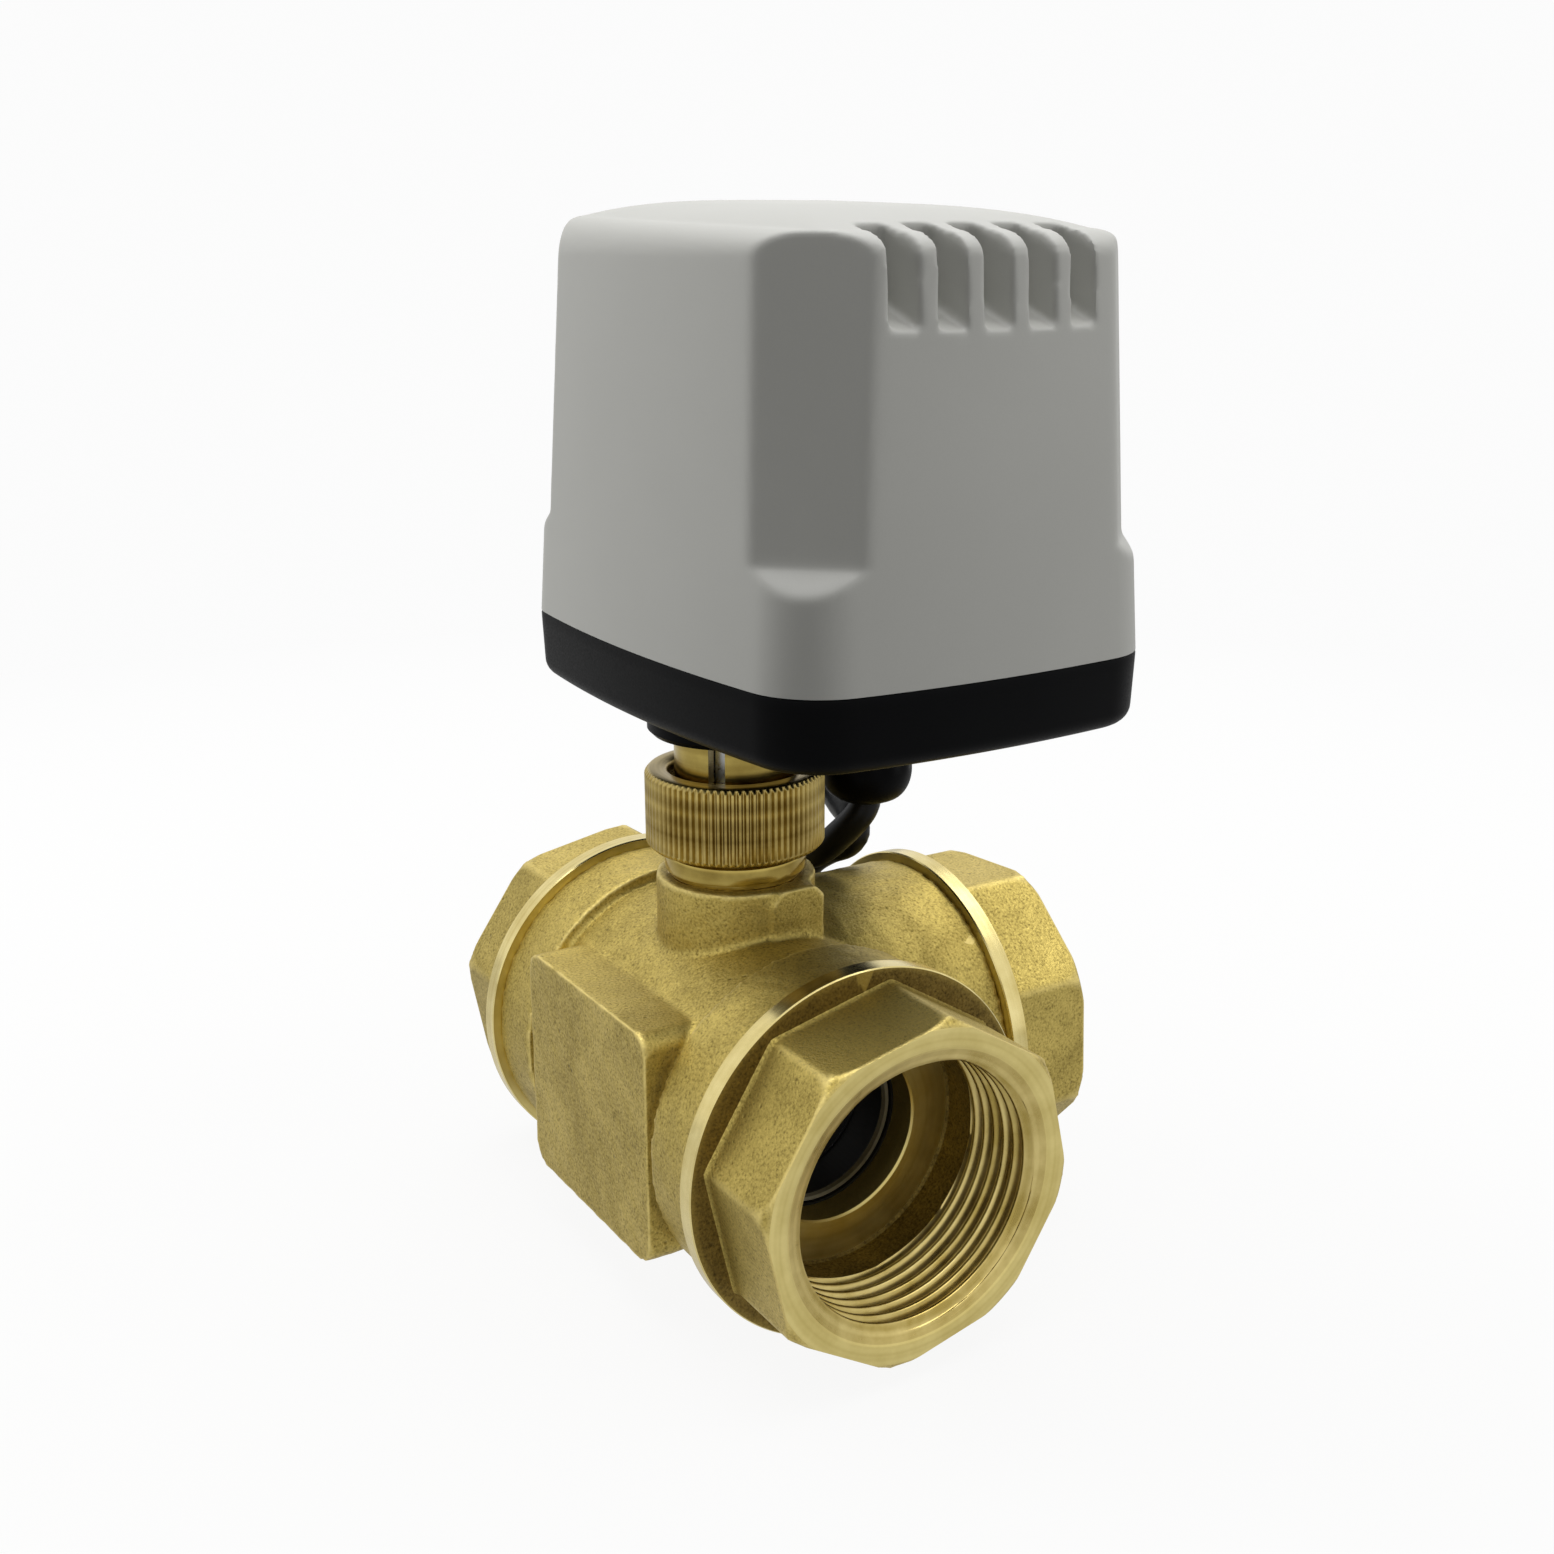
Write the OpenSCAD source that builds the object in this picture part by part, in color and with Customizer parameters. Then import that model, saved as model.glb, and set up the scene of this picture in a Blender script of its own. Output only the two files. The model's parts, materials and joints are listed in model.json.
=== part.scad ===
// Motorised three-way ball valve, G 1 1/4 ports, T-bored ball, electric actuator on a union nut.
// Millimetres. Origin where the port axes cross, +X front port, +Y branch port, +Z up the stem.

/* [Ports] */
// Distance from the stem axis to the face of the front and rear ports
run_reach = 51; // [49:0.5:56]
// Distance from the stem axis to the face of the branch port
branch_reach = 52; // [50:0.1:57]
// Width across the flats of the octagon on each end cap
octagon_flats = 49; // [47:0.5:52]
// Length of the octagon on each end cap
octagon_length = 15; // [14:0.5:17]
// Radius of the wall of the threaded port, which is the minor radius of the G 1 1/4 thread
port_radius = 19.475; // [18.5:0.025:20]
// Depth of the threaded port
port_depth = 16; // [13:0.5:17.5]
// Radius of the flange ring that closes on the body
flange_radius = 28.7; // [28.2:0.1:31]
// Thickness of the flange ring
flange_thickness = 3; // [2.5:0.1:4]
// Turn of the front octagon about its axis, where its thread ran tight
front_turn = 12.9; // [0:0.1:22.5]
// Turn of the rear octagon about its axis
rear_turn = 10.5; // [0:0.5:22.5]
// Turn of the branch octagon about its axis
branch_turn = 3.3; // [0:0.1:22.5]

/* [Valve body] */
// Radius of the cast barrels between the collars
barrel_radius = 25.5; // [25:0.1:26.5]
// Radius of the collars at the barrel ends
collar_radius = 27.3; // [27:0.1:28]
// Distance from the stem axis at which a collar starts
collar_start = 21.5; // [20:0.5:25]
// Length of the raised pad on the blind side
pad_length = 40; // [34:0.5:42]
// Height of the raised pad
pad_height = 37; // [30:0.5:40]
// Distance from the stem axis to the pad face
pad_reach = 27; // [26.6:0.1:31]
// Radius of the cast neck
neck_radius = 12.4; // [11.8:0.1:13.5]
// Height of the cast neck's top above the port axis
neck_top = 33.3; // [31:0.1:35]

/* [Ball and stem] */
// Radius of the ball
ball_radius = 20.5; // [19.5:0.1:20.6]
// Radius of the bores in the ball
ball_bore = 12.5; // [10:0.1:13]
// Radius of the stem
stem_radius = 5; // [4:0.1:5.4]
// Width of the square that drives the stem
stem_square = 7; // [5.5:0.1:7.4]

/* [Union nut] */
// Outer radius of the knurled union nut
nut_radius = 13.9; // [13.6:0.1:15]
// Height of the lower face of the nut above the port axis
nut_bottom = 37.9; // [37.5:0.1:39]
// Height of the nut
nut_height = 12.2; // [11.8:0.1:13]
// Number of straight knurl ribs
nut_ribs = 80; // [60:1:96]
// Outer radius of the slotted sleeve between valve and actuator
sleeve_radius = 9.3; // [8.4:0.1:9.6]

/* [Actuator case] */
// Height of the lower edge of the base rim above the port axis
base_bottom = 63.6; // [63:0.1:66]
// Height of the base rim
base_height = 8.9; // [8:0.1:11]
// Height of the cover at the middle of its crown
cover_height = 59.8; // [57:0.1:70]
// Wall of the cover
cover_wall = 2.2; // [1.6:0.1:2.6]
// Wall of the base
base_wall = 2.5; // [2:0.1:3]
// Draft of the cover walls in degrees
cover_draft = 4.1; // [1:0.1:5]
// Radius of the rounded upper edge of the cover
edge_radius = 6; // [5:0.5:8]
// Rise of the crown above the rounded edge
crown_rise = 1.6; // [0.8:0.1:5]
// Distance from the stem axis to the rear end of the case
case_rear = 32.8; // [32:0.1:40]
// Distance from the stem axis to the front end of the case
case_front = 51.1; // [50:0.1:58]
// Distance from the stem axis to the bowed side of the case
case_near = 22.7; // [21:0.1:24]
// Distance from the stem axis to the straight side of the case
case_far = 42.1; // [36:0.1:44]
// Width of a cooling groove
groove_width = 4.3; // [3:0.1:5]
// Distance from one cooling groove to the next
groove_pitch = 7.05; // [6.5:0.05:7.2]
// Depth of a cooling groove below the front face
groove_depth = 9; // [5:0.5:10]
// Number of cooling grooves
groove_count = 5; // [3:1:5]

/* [Gear train] */
// Tooth size of the output pair
output_module = 1; // [0.9:0.05:1]
// Tooth size of the motor pair
motor_module = 0.8; // [0.7:0.05:0.8]
// Teeth of the output gear
output_teeth = 32; // [28:1:33]
// Teeth of the small wheel on the idler
idler_small_teeth = 12; // [11:1:13]
// Teeth of the large wheel on the idler
idler_large_teeth = 36; // [32:1:37]
// Teeth of the motor pinion
motor_teeth = 14; // [12:1:15]
// Radius of the motor can
motor_radius = 19; // [17:0.5:21]
// Height of the motor can
motor_height = 19; // [15:0.5:20]

/* [Cable] */
// Diameter of the cable
cable_diameter = 5; // [4.8:0.1:6]

/* [Hidden] */

fit = 0.05;              // radial running fit of a shaft in its bore
slip = 0.1;              // gap of a part that drops into a pocket
clear = 0.3;             // gap between pieces that move past each other
eps = 0.01;              // overlap that joins solids of one piece
$fn = 96;

// End caps and the pocket behind them
cap_length = octagon_length + flange_thickness;
run_joint = run_reach - cap_length;
branch_joint = branch_reach - cap_length;
cap_thread_radius = 24;
nose_reach = 18.8;
nose_radius = 18.3;
relief_radius = 20.6;
relief_floor = 29;
throat_radius = 15.5;
throat_floor = 24;
mouth_radius = 21.6;
mouth_depth = 2;
octagon_corner = octagon_flats / 2 / cos(22.5);
octagon_chamfer = 1.1;
cap_seal_tube = 0.75;
pocket_floor = cap_thread_radius + 0.2;
cap_seat = pocket_floor + 2 * cap_seal_tube;

// Seats
seat_radius = 16.5;
seat_bore = ball_bore + 0.1;
seat_back = 21.5;
seat_lip = 13.2;
seat_lip_reach = 23.6;
ring_bore = 13.4;
body_bore = 21.8;

// Neck, stem and packing
spigot_radius = 10.7;
nut_thread_radius = 11.6;
thread_start = 38.8;
spigot_top = 46;
lug_size = [13, 9.1];
lug_middle = 3.75;
lug_bottom = 23.2;
lug_round = 3;
stem_bottom = ball_radius - 3.8;
tang = [6.3, 12.6];
shoulder_radius = 7;
shoulder_bottom = 20.9;
shoulder_height = 2;
stem_shoulder_seat = 23.2;
packing_bottom = 36;
packing_top = 40;
packing_radius = 8;
packing_nut_top = 45.4;
square_bottom = 46;
square_top = 55;
ring_heights = [28, 32];
ring_tube = 0.55;

// Nut and sleeve
nut_top = nut_bottom + nut_height;
nut_lip = 1.9;
nut_bore = nut_thread_radius + fit;
nut_mouth = sleeve_radius + 1.05;
rib_depth = 0.45;
sleeve_flange = nut_bore - clear - fit;
sleeve_flange_height = nut_top - nut_lip - fit - spigot_top;
sleeve_bore = 6.6;
sleeve_slot_width = 2.6;
sleeve_slot_angle = -47;
sleeve_slot_bottom = 49;
boss_radius = 12.8;
boss_bottom = 57;

// Case outline: four flat arcs joined by corner arcs
case_mid_x = (case_front - case_rear) / 2;
case_mid_y = 9.7;
end_arc = 191;
near_arc = 264;
far_arc = 328;
near_corner = 11;
far_corner = 10.5;
corner_steps = 7;
side_steps = 6;
floor_bottom = base_bottom - 1.5;
base_floor = base_bottom + 1.5;
base_top = base_bottom + base_height;
cover_top = base_top + cover_height;
edge_top = cover_top - crown_rise;
edge_start = edge_top - edge_radius;
ledge_tip = base_top + 9.7;
ledge_top = base_top + 15.5;
near_lean = 0.095;
far_lean = 0.06;
crown_tilt = 0.027;
near_recess = 13.4;
rear_recess = 13.1;
far_recess = 11.6;
groove_bottom = base_top + 44.2;
groove_middle = 11.06;
gasket_width = 1;
gasket_height = 0.8;
screw_radius = 1.5;
screw_head = 2.8;
screw_boss = 3;
boss_rise = 12;

// Gear train: the idler shaft is where both pairs mesh
lower_plate_z = base_floor + 2;
plate_thickness = 1.5;
upper_plate_z = lower_plate_z + 17;
output_pitch = output_module * output_teeth / 2;
small_pitch = output_module * idler_small_teeth / 2;
large_pitch = motor_module * idler_large_teeth / 2;
pinion_pitch = motor_module * motor_teeth / 2;
motor_shaft = [32.8, 5];
motor_centre = [26.8, 9];
idler_at = meeting_point([0, 0], output_pitch + small_pitch, motor_shaft, large_pitch + pinion_pitch, 1);
output_gear_z = lower_plate_z + 3;
output_gear_height = 6.5;
large_wheel_z = output_gear_z + output_gear_height + 1;
large_wheel_height = 4;
backlash = 0.12;
shaft_step = base_floor + 1;
output_shaft_radius = 5;
shaft_top = upper_plate_z + plate_thickness + 8;
cam_z = upper_plate_z + plate_thickness + 2;
cam_height = 4;
cam_radius = 6.2;
cam_lobe = 7.2;
pillar_spots = [[-23, -4], [-24, 22], [40, -4], [40, 23]];
plate_box = [[-28.5, -12], [44.5, 31]];
plate_corner = 5;
board_box = [[-26.5, -13.5], [36, 29]];
board_corner = 7;
board_slot = 22.2;
pillar_radius = 2.5;
post_spots = [[-23.5, 8], [-19.5, -9.3], [2, 27], [6.5, -12.5]];
post_radius = 2;
rear_switch = [-15.2, -6];
rear_switch_size = [6.4, 20, 6.2];
near_switch = [-14, -16.4];
near_switch_size = [18, 5.8, 6.2];
terminal_at = [-20, 3];
terminal_size = [9, 18, 9];
capacitor_at = [12, 20];
capacitor_radius = 6.3;
capacitor_length = 21;
relay_at = [8, -9];
relay_size = [19, 15, 14.5];
board_z = upper_plate_z + 26;
board_thickness = 1.6;
gland_at = [0.5, 24.2];
gland_exit = 41;

// Cable
cable_radius = cable_diameter / 2;
floor_z = -flange_radius;
cable_rest = floor_z + cable_radius;
cable_sides = 8;
coil_centre = [-60, 57];
coil_outer = 33.5;
coil_pitch = 5.6;
coil_turns = 2.75;
coil_start = -15;
loop_rings = 24;
coil_sides = 6;
// Centre line of the free stretch, from the gland down to the coil
route = [
    [0.5, 24.2, 41], [0.45, 24.05, 40], [0.15, 23.5, 38.6], [-0.8, 22.6, 36.8], [-2.5, 21.5, 34.6], [-4.9, 20.3, 32], [-8.2, 19.4, 29.8],
    [-12.8, 18.9, 29.1], [-17.6, 18.8, 30], [-22.2, 19.8, 32.4], [-25.8, 22, 35.4], [-27.6, 25.2, 37.8], [-26.6, 28.6, 38.3],
    [-23.8, 30.6, 37.5], [-19.6, 31, 36], [-14.8, 29.9, 34.9], [-10.6, 28.9, 34.1], [-8.3, 28.2, 32], [-9.8, 27.4, 29.7],
    [-14.3, 26.9, 27.4], [-19, 26.7, 24.3], [-23, 27, 20.2], [-26.4, 27.9, 15.2], [-28.9, 29.1, 9.4], [-30.3, 30.5, 2.8],
    [-31.3, 31.7, -4.2], [-31.4, 33.1, -11.4], [-30.8, 36, -18.8], [-29.5, 40.4, -24.2], [-28.3, 45.2, cable_rest],
    [-27.641, 48.33, cable_rest]];

bush_radius = 7.5;
pillar_screw = 1.5;
lead_hole = [-9, 26];
motor_ears = [130, 230];
screw_spots = [[41.5, -11], [-25, -11.5], [42, 32], [-25.5, 32]];
screw_seat = base_bottom + 0.6;
gasket_inset = 0.8;
gland_thread = 6;
gland_flange = 9.5;
gland_nut_top = 56;
gland_neck = 5.6;
gland_nut_radius = 7.4;
tie_angle = 120;
core_radius = 0.9;
core_length = 30;
core_bend = 12;
lead_top = [-9, 25.5, board_z - 4];
// Centre line of the sheathed lead inside the case
lead_route = [
    [0.5, 24.2, 41], [0.5, 24.2, 50], [0.5, 24.2, 60], [0.2, 24.3, 70], [-3, 25.2, 75], [-7.5, 26, 80], [-9, 26, 86], [-9, 26, 96], [-9, 25.5, 106.5]];

// The point at distance ra from a and rb from b, on the chosen side of the line from a to b
function meeting_point(a, ra, b, rb, side) =
    let(d = norm(b - a), u = (b - a) / d, along = (ra * ra - rb * rb + d * d) / (2 * d),
        off = sqrt(max(0, ra * ra - along * along)))
    a + along * u + side * off * [-u.y, u.x];

// Outline of the case, pulled in by an inset
function side_arc(centre, radius, from, to, steps) =
    [for (i = [0 : steps]) let(a = from + (to - from) * i / steps) centre + radius * [cos(a), sin(a)]];
function heading(v) = atan2(v.y, v.x);
function case_outline(inset) =
    let(e = end_arc - inset, n = near_arc - inset, f = far_arc - inset,
        rn = max(near_corner - inset, 1.5), rf = max(far_corner - inset, 1.5),
        front = [case_front - inset - e, case_mid_y], rear = [-case_rear + inset + e, case_mid_y],
        near = [case_mid_x, -case_near + inset + n], far = [case_mid_x, case_far - inset - f],
        c1 = meeting_point(front, e - rn, near, n - rn, -1), c2 = meeting_point(front, e - rf, far, f - rf, 1),
        c3 = meeting_point(rear, e - rf, far, f - rf, -1), c4 = meeting_point(rear, e - rn, near, n - rn, 1),
        a1 = heading(c1 - front), a2 = heading(c2 - front), b2 = heading(c2 - far), b3 = heading(c3 - far),
        a3 = heading(c3 - rear), a4 = heading(c4 - rear) + 360, b4 = heading(c4 - near), b1 = heading(c1 - near))
    concat(
        side_arc(front, e, a1, a2, side_steps), side_arc(c2, rf, a2 + 90 / corner_steps, b2 - 90 / corner_steps, corner_steps),
        side_arc(far, f, b2, b3, side_steps), side_arc(c3, rf, b3 + 90 / corner_steps, a3 - 90 / corner_steps, corner_steps),
        side_arc(rear, e, a3, a4, side_steps), side_arc(c4, rn, a4 + 90 / corner_steps, b4 + 360 - 90 / corner_steps, corner_steps),
        side_arc(near, n, b4 + 360, b1 + 360, side_steps),
        side_arc(c1, rn, b1 + 360 + 90 / corner_steps, a1 + 360 - 90 / corner_steps, corner_steps));

// The valve

module along_x(x) translate([x, 0, 0]) rotate([0, 90, 0]) children();
module along_y(y) translate([0, y, 0]) rotate([-90, 0, 0]) children();
module to_rear() mirror([1, 0, 0]) children();
module to_branch() rotate([0, 0, 90]) children();
module torus(ring, tube) rotate_extrude() translate([ring, 0]) circle(r = tube, $fn = 32);
module rounded_square(size, r) {
    square([size.x, size.y - 2 * r], center = true);
    square([size.x - 2 * r, size.y], center = true);
    for (x = [-1, 1], y = [-1, 1]) translate([x * (size.x / 2 - r), y * (size.y / 2 - r)]) circle(r = r);
}

// A port of the body: the pocket that takes the thread and nose of an end cap
module cap_pocket(joint) {
    along_x(pocket_floor) cylinder(r = cap_thread_radius, h = joint - pocket_floor + 1);
}

module valve_body() color("darkkhaki") difference() {
    union() {
        along_x(-run_joint) cylinder(r = barrel_radius, h = 2 * run_joint);
        along_y(0) cylinder(r1 = barrel_radius, r2 = collar_radius, h = neck_radius);
        along_x(collar_start) cylinder(r = collar_radius, h = run_joint - collar_start);
        to_rear() along_x(collar_start) cylinder(r = collar_radius, h = run_joint - collar_start);
        along_y(neck_radius - eps) cylinder(r = collar_radius, h = branch_joint - neck_radius + eps);
        along_y(-pad_reach) linear_extrude(pad_reach - 16) rounded_square([pad_length, pad_height], 3);
        translate([0, 0, 18]) cylinder(r = neck_radius, h = neck_top - 18);
        along_x(0) translate([-(lug_bottom + neck_top) / 2, lug_middle, 0]) linear_extrude(lug_size.x) rounded_square([neck_top - lug_bottom, lug_size.y], lug_round);
        translate([0, 0, neck_top - 1]) cylinder(r = spigot_radius, h = thread_start - neck_top + 2);
        translate([0, 0, thread_start]) cylinder(r = nut_thread_radius, h = spigot_top - thread_start);
    }
    along_x(-pocket_floor - eps) cylinder(r = body_bore, h = 2 * (pocket_floor + eps));
    along_y(0) cylinder(r = body_bore, h = pocket_floor + eps);
    along_y(-throat_floor) cylinder(r = seat_radius + slip, h = throat_floor);
    cap_pocket(run_joint);
    to_rear() cap_pocket(run_joint);
    to_branch() cap_pocket(branch_joint);
    cylinder(r = stem_radius + fit, h = 60);
    cylinder(r = shoulder_radius + clear, h = stem_shoulder_seat);
    translate([0, 0, packing_bottom]) cylinder(r = packing_radius, h = 20);
    for (z = [neck_top + 1, neck_top + 3]) translate([0, 0, z]) difference() {
        cylinder(r = spigot_radius + 1, h = 0.8);
        translate([0, 0, -1]) cylinder(r = spigot_radius - 0.4, h = 3);
    }
}

// End cap along +X, its octagon turned about its axis
module end_cap(reach, turn) difference() {
    joint = reach - cap_length;
    union() {
        along_x(joint) cylinder(r = flange_radius, h = flange_thickness);
        rotate([turn, 0, 0]) intersection() {
            rotate([22.5, 0, 0]) along_x(joint + flange_thickness - eps) cylinder(r = octagon_corner, h = octagon_length + eps, $fn = 8);
            along_x(joint) union() {
                cylinder(r = octagon_corner + 1, h = cap_length - octagon_chamfer);
                translate([0, 0, cap_length - octagon_chamfer - eps])
                    cylinder(r1 = octagon_corner - 0.05, r2 = octagon_corner - octagon_chamfer, h = octagon_chamfer + eps);
            }
        }
        along_x(cap_seat) cylinder(r = cap_thread_radius, h = joint - cap_seat + eps);
        along_x(nose_reach) cylinder(r = nose_radius, h = cap_seat - nose_reach + eps);
    }
    along_x(reach - port_depth) cylinder(r = port_radius, h = port_depth + 1);
    along_x(reach - mouth_depth) cylinder(r1 = port_radius, r2 = mouth_radius + (mouth_radius - port_radius) / mouth_depth * 0.5, h = mouth_depth + 0.5);
    along_x(relief_floor) cylinder(r = relief_radius, h = reach - port_depth - relief_floor + eps);
    along_x(throat_floor - 1) cylinder(r = throat_radius, h = reach - throat_floor);
    along_x(nose_reach - 1) cylinder(r = seat_radius + slip, h = throat_floor - nose_reach + 1);
}
module front_end_cap() color("darkgoldenrod") end_cap(run_reach, front_turn);
module rear_end_cap() color("darkgoldenrod") mirror([1, 0, 0]) end_cap(run_reach, rear_turn);
module branch_end_cap() color("darkgoldenrod") to_branch() end_cap(branch_reach, -branch_turn);

module cap_seals() color("dimgray") for (turn = [0, 90, 180])
    rotate([0, 0, turn]) along_x(cap_seat - cap_seal_tube) torus(cap_thread_radius - 1.1, cap_seal_tube);

// The ball is held by four seats, one behind each port and one on the blind side
module at_seats() for (turn = [0, 90, 180, 270]) rotate([0, 0, turn]) children();
module ball_seats() color("whitesmoke") at_seats() difference() {
    union() {
        along_x(15.6) cylinder(r = seat_radius, h = seat_back - 15.6);
        along_x(seat_back - eps) cylinder(r = seat_lip, h = seat_lip_reach - seat_back);
    }
    along_x(10) cylinder(r = seat_bore, h = 20);
    sphere(r = ball_radius + fit);
}
module seat_rings() color("dimgray") at_seats() difference() {
    along_x(seat_back) cylinder(r = seat_radius, h = throat_floor - seat_back);
    along_x(seat_back - 1) cylinder(r = ring_bore, h = 5);
}

module ball() color("gainsboro") difference() {
    sphere(r = ball_radius);
    along_x(-30) cylinder(r = ball_bore, h = 60);
    along_y(0) cylinder(r = ball_bore, h = 30);
    translate([-tang.x / 2 - slip, -tang.y / 2 - 0.2, stem_bottom]) cube([tang.x + 2 * slip, tang.y + 0.4, 10]);
}
module stem() color("silver") difference() {
    union() {
        translate([-tang.x / 2, -tang.y / 2, stem_bottom]) cube([tang.x, tang.y, shoulder_bottom - stem_bottom + eps]);
        translate([0, 0, shoulder_bottom]) cylinder(r = shoulder_radius, h = shoulder_height);
        translate([0, 0, shoulder_bottom]) cylinder(r = stem_radius, h = square_bottom - shoulder_bottom);
        translate([-stem_square / 2, -stem_square / 2, square_bottom - eps]) cube([stem_square, stem_square, square_top - square_bottom]);
    }
    for (z = ring_heights) translate([0, 0, z - ring_tube - 0.1]) difference() {
        cylinder(r = stem_radius + 1, h = 2 * ring_tube + 0.2);
        translate([0, 0, -1]) cylinder(r = stem_radius - 2 * ring_tube, h = 4);
    }
}
module stem_seals() color("dimgray") {
    for (z = ring_heights) translate([0, 0, z]) torus(stem_radius - ring_tube, ring_tube);
    translate([0, 0, shoulder_bottom + shoulder_height]) difference() {
        cylinder(r = shoulder_radius - slip, h = stem_shoulder_seat - shoulder_bottom - shoulder_height - fit);
        translate([0, 0, -1]) cylinder(r = stem_radius, h = 3);
    }
}
module stem_packing() color("whitesmoke") difference() {
    translate([0, 0, packing_bottom]) cylinder(r = packing_radius, h = packing_top - packing_bottom);
    cylinder(r = stem_radius + fit, h = 60);
}
module packing_nut() color("goldenrod") difference() {
    translate([0, 0, packing_top]) cylinder(r = packing_radius, h = packing_nut_top - packing_top);
    cylinder(r = stem_radius + fit, h = 60);
    translate([-packing_radius, -0.8, packing_nut_top - 1.2]) cube([2 * packing_radius, 1.6, 2]);
}

// Union nut with straight ribs cut round its side
module union_nut() color("gold") difference() {
    rib_step = 360 / nut_ribs;
    union() {
        translate([0, 0, nut_bottom + 1]) linear_extrude(nut_height - 2) polygon([for (i = [0 : nut_ribs - 1]) each [
            (nut_radius - rib_depth) * [cos(i * rib_step), sin(i * rib_step)],
            nut_radius * [cos((i + 0.3) * rib_step), sin((i + 0.3) * rib_step)],
            nut_radius * [cos((i + 0.7) * rib_step), sin((i + 0.7) * rib_step)]]]);
        translate([0, 0, nut_bottom]) cylinder(r1 = nut_radius - 1.1, r2 = nut_radius - rib_depth - 0.05, h = 1.1);
        translate([0, 0, nut_top - 1.1]) cylinder(r2 = nut_radius - 1.1, r1 = nut_radius - rib_depth - 0.05, h = 1.1);
    }
    translate([0, 0, nut_bottom - 1]) cylinder(r = nut_bore, h = nut_height - nut_lip + 1);
    cylinder(r = nut_mouth, h = 60);
}

// Slotted sleeve: its flange is held on the spigot by the nut, its top is pressed in the case
module adapter_sleeve() color("goldenrod") difference() {
    union() {
        translate([0, 0, spigot_top]) cylinder(r = sleeve_flange, h = sleeve_flange_height);
        translate([0, 0, spigot_top]) cylinder(r = sleeve_radius, h = base_floor + 1 - spigot_top);
    }
    cylinder(r = sleeve_bore, h = 90);
    rotate([0, 0, sleeve_slot_angle]) translate([0, -sleeve_slot_width / 2, sleeve_slot_bottom])
        cube([20, sleeve_slot_width, boss_bottom + 1.5 - sleeve_slot_bottom]);
}

// The drive

// Outline of a gear with short involute teeth
pressure = 25;
function involute(a) = tan(a) * 180 / PI - a;
function flank(r, base) = involute(acos(min(1, base / r)));
function gear_outline(m, teeth, play) =
    let(pitch = m * teeth / 2, base = pitch * cos(pressure), tip = pitch + 0.8 * m, root = pitch - 1.05 * m,
        start = max(base, root + 0.15 * m), half = 90 / teeth - play / pitch * 90 / PI,
        rise = [for (i = [0 : 3]) let(r = start + (tip - start) * i / 3) [r, half + involute(pressure) - flank(r, base)]])
    [for (t = [0 : teeth - 1]) let(a = t * 360 / teeth) each concat(
        [[root * cos(a - rise[0][1] - 0.4), root * sin(a - rise[0][1] - 0.4)]],
        [for (p = rise) p[0] * [cos(a - p[1]), sin(a - p[1])]],
        [for (i = [3 : -1 : 0]) let(p = rise[i]) p[0] * [cos(a + p[1]), sin(a + p[1])]],
        [[root * cos(a + rise[0][1] + 0.4), root * sin(a + rise[0][1] + 0.4)]])];
to_idler = heading(idler_at);
to_motor = heading(motor_shaft - idler_at);

module output_shaft() color("silver") difference() {
    union() {
        translate([0, 0, square_bottom + 1]) cylinder(r = sleeve_bore - clear, h = shaft_step - square_bottom - 1);
        translate([0, 0, shaft_step - eps]) cylinder(r = output_shaft_radius, h = shaft_top - shaft_step);
    }
    translate([0, 0, square_bottom]) translate([-stem_square / 2 - slip, -stem_square / 2 - slip, 0])
        cube([stem_square + 2 * slip, stem_square + 2 * slip, square_top + 1 - square_bottom]);
}
module output_gear() color("ivory") difference() {
    translate([0, 0, output_gear_z]) rotate([0, 0, to_idler])
        linear_extrude(output_gear_height) polygon(gear_outline(output_module, output_teeth, backlash));
    cylinder(r = output_shaft_radius, h = 120);
}
module idler_gear() color("ivory") translate([idler_at.x, idler_at.y, 0]) difference() {
    union() {
        translate([0, 0, output_gear_z]) rotate([0, 0, to_idler + 180 + 180 / idler_small_teeth])
            linear_extrude(large_wheel_z - output_gear_z + eps) polygon(gear_outline(output_module, idler_small_teeth, backlash));
        translate([0, 0, large_wheel_z]) rotate([0, 0, to_motor])
            linear_extrude(large_wheel_height) polygon(gear_outline(motor_module, idler_large_teeth, backlash));
    }
    cylinder(r = 2 + fit, h = 120);
}
module idler_pin() color("silver") translate([idler_at.x, idler_at.y, lower_plate_z])
    cylinder(r = 2, h = upper_plate_z + plate_thickness - lower_plate_z);
module motor_pinion() color("goldenrod") translate([motor_shaft.x, motor_shaft.y, 0]) {
    translate([0, 0, large_wheel_z - 0.5]) rotate([0, 0, to_motor + 180 + 180 / motor_teeth])
        linear_extrude(large_wheel_height + 1) polygon(gear_outline(motor_module, motor_teeth, backlash));
    translate([0, 0, large_wheel_z]) cylinder(r = 2.5, h = upper_plate_z + plate_thickness + 4 - large_wheel_z);
}

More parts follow.
